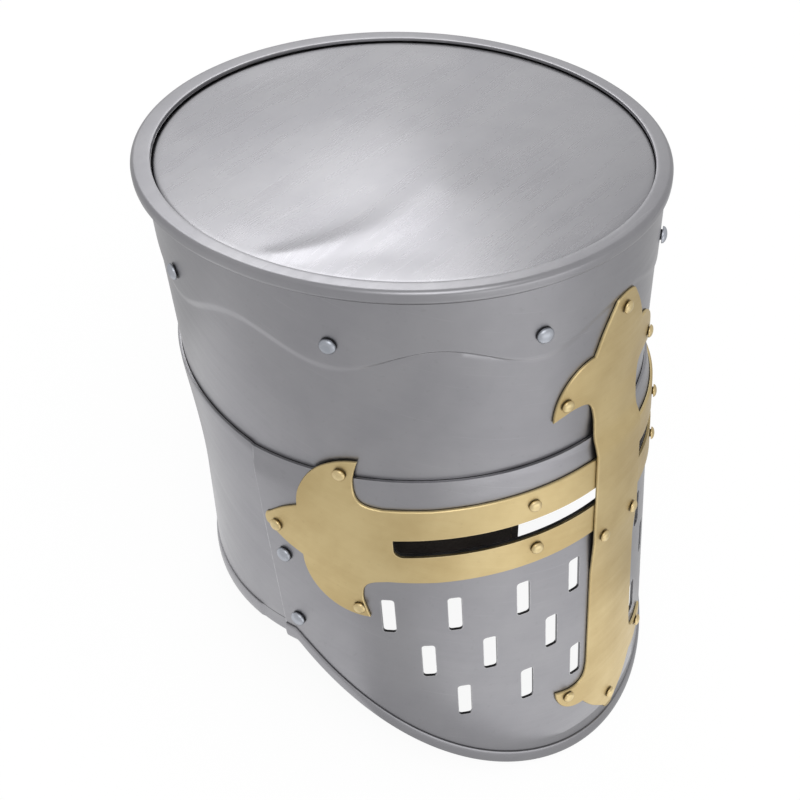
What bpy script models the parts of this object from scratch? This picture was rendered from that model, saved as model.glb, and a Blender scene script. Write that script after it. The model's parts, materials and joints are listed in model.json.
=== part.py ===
# Flat-topped great helm: riveted steel plates, a brass cross over the face and a leather liner inside.
# The helm is drawn upright with its crown at height zero, face towards -Y, then leaned back on to its
# chin and back hem, which is how it stands on a table.
import math

import bmesh
import bpy
import numpy as np
from mathutils import Matrix, Vector

MM = 0.001

# Sheet stock and fits
PLATE = 1.4 * MM
BRASS = 1.2 * MM
LEATHER = 2.2 * MM
GAP = 0.3 * MM

# Wall of the upper band at the crown, at the brow and of the lower plates at the back hem
CROWN_HALF_WIDTH = 106.0 * MM
CROWN_FRONT = 120.0 * MM
CROWN_BACK = 118.0 * MM
BROW_HALF_WIDTH = 103.4 * MM
BROW_FRONT = 115.4 * MM
BROW_BACK = 114.0 * MM
HEM_HALF_WIDTH = 108.4 * MM
HEM_FRONT = 117.1 * MM
HEM_BACK = 101.3 * MM

# Drops below the crown
BROW_DROP = 102.0 * MM
BAND_DROP = 114.0 * MM
SEAM_DROP = 103.8 * MM
HEM_DROP = 215.0 * MM
CHIN_DROP = 307.0 * MM
FACE_PITCH = math.radians(5.0)
EDGE_FRONT_PITCH = math.radians(1.65)
EDGE_BACK_PITCH = math.radians(7.0)

# Rim, skirt and hem
RIM_BULGE = 3.0 * MM
RIM_FLARE = 4.0 * MM
RIM_WIDTH = 7.4 * MM
RIM_DEPTH = 7.0 * MM
SKIRT_DROP = 43.0 * MM
SCALLOP = 12.0 * MM
HEM_HEIGHT = 8.0 * MM
HEM_BULGE = 1.1 * MM

# Side seam, and how the face plate eases off the band below its edge and steps out over the back plate
FACE_END_TOP = math.radians(92.5)
FACE_END_HEM = math.radians(86.3)
BACK_START = math.radians(78.0)
LAP_START = math.radians(50.0)
LAP_END = BACK_START - math.radians(5.5)
EDGE_EASE = 14.0 * MM

# Sights and breaths, as lengths along the wall from the middle of the face and heights below the crown
SIGHT_START = 12.0 * MM
SIGHT_END = 113.2 * MM
SIGHT_HEIGHT = 10.2 * MM
SIGHT_CORNER = 4.6 * MM
BROW_LINE = 143.4 * MM
BREATH_HEIGHT = 20.8 * MM
BREATH_WIDTH = 6.4 * MM
BREATH_CORNER = 1.6 * MM
BREATH_PITCH = 30.0 * MM
BREATH_TOP_ROW = 187.0 * MM
BREATH_ROW_STEP = 30.0 * MM
BREATH_ROWS = ((0.92, 1.84, 2.92, 3.95), (1.35, 2.4, 3.37), (0.86, 1.79, 2.84))

# Brass cross; the arms' ends rise a little towards the back
ARM_HALF_HEIGHT = 21.4 * MM
ARM_TIP = 177.2 * MM
ARM_RISE_START = 95.0 * MM
ARM_RISE = 0.045
HORN_FALL = 1.5 * MM
BAR_HALF_WIDTH = 16.8 * MM
BAR_FOOT_HALF_WIDTH = 19.0 * MM
BAR_TIP_DROP = 41.4 * MM
FOOT_TIP_DROP = 305.0 * MM
BAR_REST_DROP = 80.0 * MM

# Fleur ends of the cross: length from tip to horns, half width, depth and half width of the notch,
# half width of the blunt tip
ARM_FLEUR_LENGTH = 50.5 * MM
ARM_FLEUR_HALF = 45.1 * MM
ARM_NOTCH = 19.4 * MM
ARM_NOTCH_HALF = 14.5 * MM
ARM_TIP_HALF = 4.0 * MM
CROWN_FLEUR_LENGTH = 49.4 * MM
CROWN_FLEUR_HALF = 39.8 * MM
CROWN_NOTCH = 23.9 * MM
CROWN_NOTCH_HALF = 18.8 * MM
CROWN_TIP_HALF = 8.0 * MM
FOOT_FLEUR_LENGTH = 41.2 * MM
FOOT_FLEUR_HALF = 38.6 * MM
FOOT_NOTCH = 23.0 * MM
FOOT_NOTCH_HALF = 21.4 * MM
FOOT_TIP_HALF = 4.2 * MM
FLEUR_FILLET = 7.0 * MM

# Rivets
STEEL_HEAD = 3.8 * MM
STEEL_HEAD_HEIGHT = 2.4 * MM
STEEL_SHANK = 2.0 * MM
BRASS_HEAD = 3.1 * MM
BRASS_HEAD_HEIGHT = 1.8 * MM
BRASS_SHANK = 1.5 * MM
HEAD_GAP = 0.5 * MM
CROWN_RIVET_DROP = 31.0 * MM
CROWN_RIVET_FIRST = math.radians(24.5)
CROWN_RIVET_STEP = math.radians(44.5)

# Leather liner
LINER_TOP = 26.0 * MM
LINER_HANG = 14.0 * MM
LINER_BROW = 60.0 * MM
LINER_DROP = 172.0 * MM
LINER_OPENING = math.radians(22.5)
LINER_EDGE = math.radians(3.0)
STRAP_HALF_ANGLE = math.radians(5.5)
STRAP_APEX = 7.0 * MM

# Layers, as distances out from the band's outer face where the face plate's edge lies on it
BAND_IN = -PLATE
SKIRT_OUT = BAND_IN - GAP
SKIRT_IN = SKIRT_OUT - PLATE
LINER_OUT = SKIRT_IN - GAP
LINER_IN = LINER_OUT - LEATHER
STRAP_OUT = LINER_IN - GAP
STRAP_IN = STRAP_OUT - LEATHER
BACK_IN = GAP
BACK_OUT = BACK_IN + PLATE
FACE_IN = GAP
FACE_OUT = FACE_IN + PLATE
ARM_IN = FACE_OUT + GAP
ARM_OUT = ARM_IN + BRASS
BAR_IN = ARM_OUT + GAP
LAP_STEP = PLATE + GAP
BODY_OUT = FACE_OUT + LAP_STEP

STEEL_COLOUR = (0.33, 0.33, 0.345)
RIVET_COLOUR = (0.48, 0.49, 0.52)
BRASS_COLOUR = (0.52, 0.43, 0.23)
LEATHER_COLOUR = (0.03, 0.022, 0.018)


def clear_scene():
    for thing in list(bpy.data.objects):
        bpy.data.objects.remove(thing)


def material(name, colour, roughness, metallic):
    made = bpy.data.materials.new(name)
    made.use_nodes = True
    shader = made.node_tree.nodes["Principled BSDF"]
    shader.inputs["Base Color"].default_value = (*colour, 1.0)
    shader.inputs["Roughness"].default_value = roughness
    shader.inputs["Metallic"].default_value = metallic
    return made


def mix(a, b, share):
    return a + (b - a) * share


# The oval wall

def half_sizes(z):
    """Half width, front and back of the band's outer face at height z."""
    drop = max(-z, 0.0)
    if drop < BROW_DROP:
        share = drop / BROW_DROP
        return (
            mix(CROWN_HALF_WIDTH, BROW_HALF_WIDTH, share),
            mix(CROWN_FRONT, BROW_FRONT, share),
            mix(CROWN_BACK, BROW_BACK, share),
        )
    share = (drop - BROW_DROP) / (HEM_DROP - BROW_DROP)
    necking = math.sin(min(2.0 * share, 1.0) * math.pi / 2.0)
    return (
        mix(BROW_HALF_WIDTH, HEM_HALF_WIDTH, share),
        mix(BROW_FRONT, HEM_FRONT, share),
        mix(BROW_BACK, HEM_BACK, necking),
    )


def wall_point(angle, z, out):
    """A point of the wall: angle 0 is the middle of the face, positive towards +X."""
    width, front, back = half_sizes(z)
    depth = front if math.cos(angle) > 0.0 else back
    return Vector(((width + out) * math.sin(angle), -(depth + out) * math.cos(angle), z))


def wall_normal(angle, z):
    """Direction out of the wall, averaged over about the width of a rivet head."""
    turn = STEEL_HEAD / CROWN_HALF_WIDTH
    along = wall_point(angle + turn, z, 0.0) - wall_point(angle - turn, z, 0.0)
    upward = wall_point(angle, z + STEEL_HEAD, 0.0) - wall_point(angle, z - STEEL_HEAD, 0.0)
    return along.cross(upward).normalized()


def arc_table():
    """Angles and lengths along the face plate at the brow line, measured from the middle of the face."""
    width, front, _ = half_sizes(-BROW_LINE)
    angles = np.linspace(0.0, math.radians(120.0), 1201)
    speeds = np.hypot((width + BODY_OUT) * np.cos(angles), (front + BODY_OUT) * np.sin(angles))
    steps = 0.5 * (speeds[1:] + speeds[:-1]) * np.diff(angles)
    return angles, np.concatenate([[0.0], np.cumsum(steps)])


ARC_ANGLES, ARC_LENGTHS = arc_table()


def angle_at(length):
    return math.copysign(float(np.interp(abs(length), ARC_LENGTHS, ARC_ANGLES)), length)


def pitched(angle, drop):
    """Height of a level line of the face, which runs up towards the front by the face's pitch."""
    _, front, _ = half_sizes(-drop)
    return -drop + front * max(math.cos(angle), 0.0) * math.tan(FACE_PITCH)


def face_place(length, drop):
    """Angle and height of a spot on the face, its length measured along the wall at its own height."""
    brow_width, brow_front, _ = half_sizes(-BROW_LINE)
    width, front, _ = half_sizes(-drop)
    girth = (width + front + 2.0 * BODY_OUT) / (brow_width + brow_front + 2.0 * BODY_OUT)
    angle = angle_at(length / girth)
    return angle, pitched(angle, drop)


# Mesh helpers

def finish_mesh(name, made, look, parent, sharp=35.0, turn_faces=True):
    if turn_faces:
        bmesh.ops.recalc_face_normals(made, faces=made.faces)
    mesh = bpy.data.meshes.new(name)
    made.to_mesh(mesh)
    made.free()
    mesh.materials.append(look)
    mesh.polygons.foreach_set("use_smooth", [True] * len(mesh.polygons))
    mesh.set_sharp_from_angle(angle=math.radians(sharp))
    thing = bpy.data.objects.new(name, mesh)
    thing.parent = parent
    bpy.context.collection.objects.link(thing)
    return thing


def sheet(name, sections, closed, look, parent):
    """A bent sheet: each section is (outer points, inner points), both listed from the top down."""
    made = bmesh.new()
    loops = []
    for outer, inner in sections:
        loops.append([made.verts.new(point) for point in outer + inner[::-1]])
    count = len(loops)
    size = len(loops[0])
    for i in range(count if closed else count - 1):
        here, following = loops[i], loops[(i + 1) % count]
        for j in range(size):
            k = (j + 1) % size
            made.faces.new((here[j], here[k], following[k], following[j]))
    if not closed:
        for loop in (loops[0], loops[-1]):
            for j in range(size // 2 - 1):
                made.faces.new((loop[j], loop[j + 1], loop[size - 2 - j], loop[size - 1 - j]))
    return finish_mesh(name, made, look, parent)


def wrapped(name, outlines, inner, outer, look, parent, columns=9.0 * MM, rows=()):
    """Flat outlines of (length, drop) points bent on to the face, between two distances out."""
    made = bmesh.new()
    for outline in outlines:
        corners = [made.verts.new((length, drop, 0.0)) for length, drop in outline]
        face = made.faces.new(corners)
        lifted = bmesh.ops.extrude_face_region(made, geom=[face])["geom"]
        for corner in lifted:
            if isinstance(corner, bmesh.types.BMVert):
                corner.co.z = 1.0
    lengths = [corner.co.x for corner in made.verts]
    first = math.ceil(min(lengths) / columns + 0.2)
    last = math.floor(max(lengths) / columns - 0.2)
    cuts = [(Vector((k * columns, 0.0, 0.0)), Vector((1.0, 0.0, 0.0))) for k in range(first, last + 1)]
    cuts += [(Vector((0.0, row, 0.0)), Vector((0.0, 1.0, 0.0))) for row in rows]
    for spot, direction in cuts:
        everything = made.verts[:] + made.edges[:] + made.faces[:]
        bmesh.ops.bisect_plane(made, geom=everything, dist=1e-7, plane_co=spot, plane_no=direction)
    bmesh.ops.triangulate(made, faces=made.faces)
    bmesh.ops.recalc_face_normals(made, faces=made.faces)
    for corner in made.verts:
        length, drop, share = corner.co
        angle, z = face_place(length, drop)
        corner.co = wall_point(angle, z, mix(inner(angle, z), outer(angle, z), share))
    if made.calc_volume(signed=True) < 0.0:
        bmesh.ops.reverse_faces(made, faces=made.faces)
    return finish_mesh(name, made, look, parent, turn_faces=False)


def turned(name, profile, segments, place, look, parent):
    """A solid turned about the axis of place from (radius, height) points that start and end on it."""
    made = bmesh.new()
    rings = []
    for radius, height in profile:
        if radius == 0.0:
            rings.append([made.verts.new(place @ Vector((0.0, 0.0, height)))])
            continue
        ring = []
        for i in range(segments):
            turn = 2.0 * math.pi * i / segments
            spot = Vector((radius * math.cos(turn), radius * math.sin(turn), height))
            ring.append(made.verts.new(place @ spot))
        rings.append(ring)
    for upper, lower in zip(rings, rings[1:]):
        for i in range(segments):
            k = (i + 1) % segments
            corners = [upper[i % len(upper)], lower[i % len(lower)]]
            corners += [lower[k % len(lower)], upper[k % len(upper)]]
            made.faces.new(list(dict.fromkeys(corners)))
    return finish_mesh(name, made, look, parent, sharp=50.0)


def helper(thing):
    thing.hide_render = True
    thing.display_type = "WIRE"
    return thing


def cut(thing, cutter):
    modifier = thing.modifiers.new(cutter.name, "BOOLEAN")
    modifier.operation = "DIFFERENCE"
    modifier.solver = "EXACT"
    modifier.object = cutter


# Steel plates

def even_angles(first, last, count):
    return [mix(first, last, i / (count - 1)) for i in range(count)]


def ring_angles(count=64):
    return [2.0 * math.pi * i / count for i in range(count)]


def edge_height(angle):
    """Upper edge of the lower plates, which rises a little to the front and more to the back."""
    _, front, back = half_sizes(-SEAM_DROP)
    if math.cos(angle) > 0.0:
        return -SEAM_DROP + front * math.cos(angle) * math.tan(EDGE_FRONT_PITCH)
    return -SEAM_DROP - back * math.cos(angle) * math.tan(EDGE_BACK_PITCH)


def ease(value):
    share = min(max(value, 0.0), 1.0)
    return share * share * (3.0 - 2.0 * share)


def face_lift(angle, z):
    """How far the face plate stands out past its upper edge: over the back plate, and below the band."""
    turn = abs((angle + math.pi) % (2.0 * math.pi) - math.pi)
    lap = ease((turn - LAP_START) / (LAP_END - LAP_START))
    below = ease((edge_height(angle) - z) / EDGE_EASE)
    return LAP_STEP * max(lap, below)


def crown_rivet_angles():
    right = [-(CROWN_RIVET_FIRST + k * CROWN_RIVET_STEP) for k in range(4)]
    return right + [-angle for angle in right]


def skirt_bottom(angle):
    """The skirt hangs lowest at each crown rivet and is scalloped away between them."""
    spans = [abs((angle - at + math.pi) % (2.0 * math.pi) - math.pi) for at in crown_rivet_angles()]
    swing = min(min(spans) / CROWN_RIVET_STEP, 0.5)
    return -SKIRT_DROP + SCALLOP * 0.5 * (1.0 - math.cos(2.0 * math.pi * swing))


def make_upper_band(look, parent):
    sections = []
    below_brow = -0.5 * (BAND_DROP + BROW_DROP)
    for angle in ring_angles():
        bulge = RIM_BULGE + RIM_FLARE * max(-math.cos(angle), 0.0)
        edge = RIM_BULGE - RIM_WIDTH + 0.4 * (bulge - RIM_BULGE)
        outer = [(-BAND_DROP, 0.0), (below_brow, 0.0), (-BROW_DROP, 0.0), (-1.35 * RIM_DEPTH, 0.0)]
        outer += [(-0.9 * RIM_DEPTH, 0.55 * bulge), (-0.5 * RIM_DEPTH, bulge)]
        outer += [(-0.15 * RIM_DEPTH, bulge - 0.28 * RIM_BULGE), (0.0, bulge - 0.35 * RIM_WIDTH)]
        outer.append((0.0, edge))
        inner = [(-BAND_DROP, BAND_IN), (below_brow, BAND_IN), (-BROW_DROP, BAND_IN)]
        inner.append((-1.2 * RIM_DEPTH, BAND_IN))
        inner += [(-0.4 * RIM_DEPTH, BAND_IN), (-PLATE, BAND_IN - 0.15 * RIM_WIDTH)]
        inner.append((-PLATE, edge))
        sections.append((
            [wall_point(angle, z, out) for z, out in outer],
            [wall_point(angle, z, out) for z, out in inner],
        ))
    return sheet("upper_band", sections, True, look, parent)


def make_top_plate(look, parent):
    top = -PLATE - GAP
    bend = 3.2 * PLATE
    made = bmesh.new()
    loops = []
    for angle in ring_angles():
        low = skirt_bottom(angle)
        outer = [(top, SKIRT_OUT - bend), (top - 0.3 * bend, SKIRT_OUT - 0.3 * bend)]
        outer += [(top - bend, SKIRT_OUT), (low, SKIRT_OUT)]
        inner = [(low, SKIRT_IN), (top - bend, SKIRT_IN)]
        inner += [(top - 0.4 * bend - PLATE, SKIRT_IN - 0.4 * bend), (top - PLATE, SKIRT_IN - bend)]
        loops.append([made.verts.new(wall_point(angle, z, out)) for z, out in outer + inner])
    size = len(loops[0])
    for here, following in zip(loops, loops[1:] + loops[:1]):
        for j in range(size - 1):
            made.faces.new((here[j], here[j + 1], following[j + 1], following[j]))
    made.faces.new([loop[0] for loop in loops])
    made.faces.new([loop[-1] for loop in loops])
    return finish_mesh("top_plate", made, look, parent)


def plate_sections(spans, angle_of, bottom, levels_of, inside, lift, swell):
    """Sections of a lower plate from its upper edge to its rolled hem, which swells outwards."""
    hem = ((1.1, 0.0), (0.85, 1.0), (0.3, 1.0), (0.0, 0.35))
    sections = []
    for span in spans:
        middle = angle_of(span, -0.5 * (SEAM_DROP + HEM_DROP))
        low = bottom(middle)
        levels = [(z, 0.0) for z in levels_of(edge_height(middle), low + 1.4 * HEM_HEIGHT)]
        levels += [(low + up * HEM_HEIGHT, out * HEM_BULGE * swell(middle)) for up, out in hem]
        outer, inner = [], []
        for z, out in levels:
            angle = angle_of(span, z)
            base = inside + lift(angle, z)
            outer.append(wall_point(angle, z, base + PLATE + out))
            inner.append(wall_point(angle, z, base))
        sections.append((outer, inner))
    return sections


def face_levels(high, plain):
    eased = [high - share * EDGE_EASE for share in (0.0, 0.25, 0.5, 0.75, 1.0)]
    return eased + [mix(eased[-1], plain, share) for share in (0.5, 1.0)]


def back_levels(high, plain):
    first_bend = min(high - 2.0 * PLATE, -BROW_DROP)
    return [high, first_bend] + [mix(first_bend, plain, share) for share in (0.14, 0.28, 0.42, 0.56, 1.0)]


def face_bottom(angle):
    return mix(-CHIN_DROP, -HEM_DROP, min(abs(angle) / FACE_END_HEM, 1.0) ** 2)


def face_end(span, z):
    share = (-z - SEAM_DROP) / (HEM_DROP - SEAM_DROP)
    return span * mix(FACE_END_TOP, FACE_END_HEM, min(max(share, 0.0), 1.0))


def back_angle(span, z):
    return mix(BACK_START, 2.0 * math.pi - BACK_START, span)


def lap_swell(angle):
    """The back plate's hem is flat where it lies under the face plate."""
    clear = abs((angle % (2.0 * math.pi)) - math.pi)
    return 1.0 if clear < math.pi - FACE_END_TOP - math.radians(3.0) else 0.0


def make_face_plate(look, parent):
    spans = even_angles(-1.0, 1.0, 37)
    sections = plate_sections(
        spans, face_end, face_bottom, face_levels, FACE_IN, face_lift, lambda angle: 1.0
    )
    return sheet("face_plate", sections, False, look, parent)


def make_back_plate(look, parent):
    spans = even_angles(0.0, 1.0, 37)
    sections = plate_sections(
        spans, back_angle, lambda angle: -HEM_DROP, back_levels, BACK_IN, lambda angle, z: 0.0, lap_swell
    )
    return sheet("back_plate", sections, False, look, parent)


# Brass cross

def fleur(length, half, notch, notch_half, tip_half, neck_half):
    """One side of a fleur end as (distance from the tip, half width) points, from the tip to the neck."""
    points = [(0.0, 0.0), (0.04 * notch, 0.7 * tip_half), (0.14 * notch, tip_half)]
    points += [(0.55 * notch, mix(tip_half, notch_half, 0.56)), (notch, notch_half)]
    for k in range(1, 6):
        turn = 0.5 * math.pi * k / 5.0
        points.append((mix(length, notch, math.cos(turn)), mix(notch_half, half, math.sin(turn))))
    for share, hollow in ((0.22, 0.2), (0.46, 0.36), (0.7, 0.3), (0.86, 0.02), (0.95, -0.5)):
        points.append((length - hollow * FLEUR_FILLET, mix(half, neck_half, share)))
    points.append((length + 1.4 * FLEUR_FILLET, neck_half))
    return points


def arm_drop(length, across):
    """Drop of a spot on an arm, whose end rises towards the back."""
    return BROW_LINE + across - ARM_RISE * max(abs(length) - ARM_RISE_START, 0.0)


def arm_outline(side):
    ends = fleur(
        ARM_FLEUR_LENGTH, ARM_FLEUR_HALF, ARM_NOTCH, ARM_NOTCH_HALF, ARM_TIP_HALF, ARM_HALF_HEIGHT
    )
    inner_end = 0.25 * BAR_HALF_WIDTH
    outline = [(ARM_TIP - along, -across) for along, across in ends]
    outline += [(ARM_RISE_START, -ARM_HALF_HEIGHT), (inner_end, -ARM_HALF_HEIGHT)]
    outline += [(inner_end, ARM_HALF_HEIGHT), (ARM_RISE_START, ARM_HALF_HEIGHT)]
    outline += [(ARM_TIP - along, across) for along, across in ends[:0:-1]]
    return [(side * length, arm_drop(length, across)) for length, across in outline]


def arm_lift(angle, z):
    """Inner face of an arm: on the face plate, its upper horn falling towards the band above the edge."""
    above = (z - edge_height(angle) - PLATE) / (8.0 * PLATE)
    return ARM_IN + face_lift(angle, z) - HORN_FALL * min(max(above, 0.0), 1.0)


def make_arm(name, side, look, parent):
    rows = [SEAM_DROP + 0.5 * step * EDGE_EASE for step in range(-1, 4)]
    return wrapped(
        name, [arm_outline(side)], arm_lift, lambda angle, z: arm_lift(angle, z) + BRASS, look, parent,
        rows=rows,
    )


def bar_outline():
    top = fleur(
        CROWN_FLEUR_LENGTH, CROWN_FLEUR_HALF, CROWN_NOTCH, CROWN_NOTCH_HALF, CROWN_TIP_HALF, BAR_HALF_WIDTH
    )
    foot = fleur(
        FOOT_FLEUR_LENGTH, FOOT_FLEUR_HALF, FOOT_NOTCH, FOOT_NOTCH_HALF, FOOT_TIP_HALF, BAR_FOOT_HALF_WIDTH
    )
    left = [(-across, BAR_TIP_DROP + along) for along, across in top]
    left += [(-across, FOOT_TIP_DROP - along) for along, across in foot[::-1]]
    return left + [(-length, drop) for length, drop in left[-2:0:-1]]


def bar_heights():
    """Heights where the upright bends, from below the arms, over them and the plate's edge, to the band."""
    edge = edge_height(0.0)
    arm_bottom = pitched(0.0, BROW_LINE + ARM_HALF_HEIGHT)
    arm_top = pitched(0.0, BROW_LINE - ARM_HALF_HEIGHT)
    over_arm = max(edge - 0.6 * EDGE_EASE, arm_top + 2.0 * BRASS)
    over_edge = max(edge, over_arm + 4.0 * PLATE)
    on_band = max(-BAR_REST_DROP, over_edge + 8.0 * PLATE)
    return [arm_bottom - 28.0 * MM, arm_bottom - 8.0 * MM, over_arm, over_edge, on_band]


def bar_lift(angle, z):
    """Inner face of the upright: on the band at the top, then over the plate's edge and the arms."""
    lifts = [ARM_IN + LAP_STEP, BAR_IN + LAP_STEP, BAR_IN + LAP_STEP, ARM_IN + GAP, GAP]
    return float(np.interp(z, bar_heights(), lifts))


def make_bar(look, parent):
    rows = [half_sizes(z)[1] * math.tan(FACE_PITCH) - z for z in bar_heights()]
    rows.append(0.5 * (BROW_LINE + FOOT_TIP_DROP))
    return wrapped(
        "cross_bar", [bar_outline()], bar_lift, lambda angle, z: bar_lift(angle, z) + BRASS, look, parent,
        columns=8.0 * MM, rows=rows,
    )


# Openings

def sight_outline(side):
    half = 0.5 * SIGHT_HEIGHT
    outline = [(SIGHT_START, -half), (SIGHT_END, -half)]
    for k in range(4):
        turn = 0.5 * math.pi * k / 3.0
        away = SIGHT_CORNER * (1.0 - math.cos(turn))
        outline.append((SIGHT_END - away, half - SIGHT_CORNER * (1.0 - math.sin(turn))))
    outline.append((SIGHT_START, half))
    return [(side * length, BROW_LINE + across) for length, across in outline]


def breath_outline(length, drop):
    across, down = 0.5 * BREATH_WIDTH, 0.5 * BREATH_HEIGHT
    corner = BREATH_CORNER
    side = [(across - corner, -down), (across, corner - down)]
    side += [(across, down - corner), (across - corner, down)]
    outline = [(length + x, drop + y) for x, y in side]
    return outline + [(length - x, drop - y) for x, y in side]


def breath_outlines():
    outlines = []
    for row, places in enumerate(BREATH_ROWS):
        drop = BREATH_TOP_ROW + row * BREATH_ROW_STEP
        for place in places:
            outlines.append(breath_outline(place * BREATH_PITCH, drop))
            outlines.append(breath_outline(-place * BREATH_PITCH, drop))
    return outlines


def make_openings(look, parent):
    inner, outer = (lambda angle, z: FACE_IN - 4.0 * PLATE), (lambda angle, z: ARM_OUT + 6.0 * PLATE)
    sights = wrapped("sight_cutter", [sight_outline(1.0), sight_outline(-1.0)], inner, outer, look, parent)
    breaths = wrapped("breath_cutter", breath_outlines(), inner, outer, look, parent, columns=1.0)
    return helper(sights), helper(breaths)


# Rivets

def far_side(layer, angle, z):
    if layer == "face":
        return FACE_IN + face_lift(angle, z)
    return {"band": BAND_IN, "back": BACK_IN}[layer]


def brass_seat(lift, angle, z):
    """Seat of a brass rivet: the highest brass under its head."""
    return BRASS + max(lift(angle, z - BRASS_HEAD), lift(angle, z), lift(angle, z + BRASS_HEAD))


def rivet_list():
    """(name, angle, height, distance out of the seat, distance out of the far side, kind)."""
    rivets = []
    for number, angle in enumerate(crown_rivet_angles()):
        strapped = number % 4 in (1, 2)
        far = STRAP_IN if strapped else LINER_IN
        rivets.append((f"crown_rivet_{number + 1}", angle, -CROWN_RIVET_DROP, 0.0, far, "steel"))
    for side, word in ((-1.0, "right"), (1.0, "left")):
        under_arm_tip = BROW_LINE + 1.1 * ARM_NOTCH_HALF
        for drop, place in ((under_arm_tip, "upper"), (HEM_DROP - 2.0 * HEM_HEIGHT, "lower")):
            angle = side * (face_end(1.0, -drop) - math.radians(4.5))
            seat = FACE_OUT + face_lift(angle, -drop)
            rivets.append((f"side_rivet_{word}_{place}", angle, -drop, seat, BACK_IN, "steel"))
        for place, length, across, layer in (
            ("upper_horn", ARM_TIP - 0.84 * ARM_FLEUR_LENGTH, -0.843 * ARM_FLEUR_HALF, "band"),
            ("lower_horn", ARM_TIP - 0.907 * ARM_FLEUR_LENGTH, 0.87 * ARM_FLEUR_HALF, "face"),
            ("tip", ARM_TIP - 1.7 * ARM_TIP_HALF, 0.4 * ARM_TIP_HALF, "back"),
            ("over_sight", 0.443 * SIGHT_END, -0.63 * ARM_HALF_HEIGHT, "face"),
            ("under_sight", 0.436 * SIGHT_END, 0.575 * ARM_HALF_HEIGHT, "face"),
        ):
            angle, z = face_place(side * length, arm_drop(length, across))
            far = far_side(layer, angle, z)
            seat = brass_seat(arm_lift, angle, z)
            rivets.append((f"arm_rivet_{word}_{place}", angle, z, seat, far, "brass"))
        for place, length, drop, layer in (
            ("crown_horn", 0.842 * CROWN_FLEUR_HALF, BAR_TIP_DROP + 0.85 * CROWN_FLEUR_LENGTH, "band"),
            ("crossing", 0.7 * BAR_HALF_WIDTH, BROW_LINE + ARM_HALF_HEIGHT + 1.8 * BRASS_HEAD, "face"),
            ("foot_horn", 0.808 * FOOT_FLEUR_HALF, FOOT_TIP_DROP - 0.85 * FOOT_FLEUR_LENGTH, "face"),
        ):
            angle, z = face_place(side * length, drop)
            far = far_side(layer, angle, z)
            seat = brass_seat(bar_lift, angle, z)
            rivets.append((f"bar_rivet_{word}_{place}", angle, z, seat, far, "brass"))
    for place, drop, layer in (
        ("crown_tip", BAR_TIP_DROP + 0.314 * CROWN_NOTCH, "band"),
        ("foot_tip", FOOT_TIP_DROP - 0.457 * FOOT_NOTCH, "face"),
    ):
        angle, z = face_place(0.0, drop)
        far = far_side(layer, angle, z)
        rivets.append((f"bar_rivet_{place}", angle, z, brass_seat(bar_lift, angle, z), far, "brass"))
    for number, turn in enumerate((-28.0, 0.0, 28.0)):
        angle = math.pi + math.radians(turn)
        z = min(edge_height(angle) - 1.25 * STEEL_HEAD, -BROW_DROP + 1.6 * STEEL_HEAD)
        rivets.append((f"back_rivet_{number + 1}", angle, z, BACK_OUT, BAND_IN, "steel"))
    return rivets


def rivet_place(angle, z, out):
    normal = wall_normal(angle, z)
    spot = wall_point(angle, z, out)
    return Matrix.Translation(spot) @ normal.to_track_quat("Z", "Y").to_matrix().to_4x4()


def rivet_sizes(kind):
    if kind == "steel":
        return STEEL_HEAD, STEEL_HEAD_HEIGHT, STEEL_SHANK
    return BRASS_HEAD, BRASS_HEAD_HEIGHT, BRASS_SHANK


def make_rivet(rivet, looks, parent):
    name, angle, z, seat, far, kind = rivet
    head, height, shank = rivet_sizes(kind)
    bottom = far - seat - GAP
    tail = 1.45 * shank
    profile = [(0.0, HEAD_GAP + height), (0.62 * head, HEAD_GAP + 0.84 * height)]
    profile += [(head, HEAD_GAP + 0.2 * height), (shank, HEAD_GAP)]
    profile += [(shank, bottom), (tail, bottom), (0.0, bottom - 0.7 * shank)]
    return turned(name, profile, 8, rivet_place(angle, z, seat), looks[kind], parent)


def make_drills(name, rivets, look, parent):
    """One helper holding a drill through all layers for every rivet named."""
    made = bmesh.new()
    for _, angle, z, seat, far, kind in rivets:
        radius = rivet_sizes(kind)[2] + GAP
        depth = seat - far + 8.0 * PLATE
        middle = rivet_place(angle, z, seat) @ Matrix.Translation((0.0, 0.0, 0.5 * (far - seat)))
        bmesh.ops.create_cone(
            made, cap_ends=True, segments=8, radius1=radius, radius2=radius, depth=depth, matrix=middle
        )
    return helper(finish_mesh(name, made, look, parent))


# Leather

def liner_bottom(angle):
    """Lower edge of the liner: short over the eyes, long over the cheeks and the neck."""
    turn = abs((angle + math.pi) % (2.0 * math.pi) - math.pi)
    share = min(max((turn - LINER_OPENING) / LINER_EDGE, 0.0), 1.0)
    slope = min(max((turn - LINER_OPENING) / math.radians(35.0), 0.0), 1.0)
    return -mix(LINER_BROW, mix(0.97 * LINER_DROP, LINER_DROP, slope), share)


def liner_hang(z):
    start = -SKIRT_DROP - 4.0 * MM
    return min(max((start - z) / (0.5 * LINER_DROP), 0.0), 1.0) * (LINER_HANG + LINER_OUT)


def make_liner(look, parent):
    sections = []
    edge = LINER_OPENING + LINER_EDGE
    angles = even_angles(-LINER_OPENING, LINER_OPENING, 8) + even_angles(edge, 2.0 * math.pi - edge, 44)
    for angle in angles:
        low = liner_bottom(angle)
        levels = [-LINER_TOP, -0.5 * (LINER_TOP + SKIRT_DROP), -SKIRT_DROP - 4.0 * MM]
        levels += [mix(levels[-1], low, share) for share in (0.5, 1.0)]
        outer = [wall_point(angle, z, LINER_OUT - liner_hang(z)) for z in levels]
        inner = [wall_point(angle, z, LINER_IN - liner_hang(z)) for z in levels]
        sections.append((outer, inner))
    return sheet("liner", sections, True, look, parent)


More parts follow.
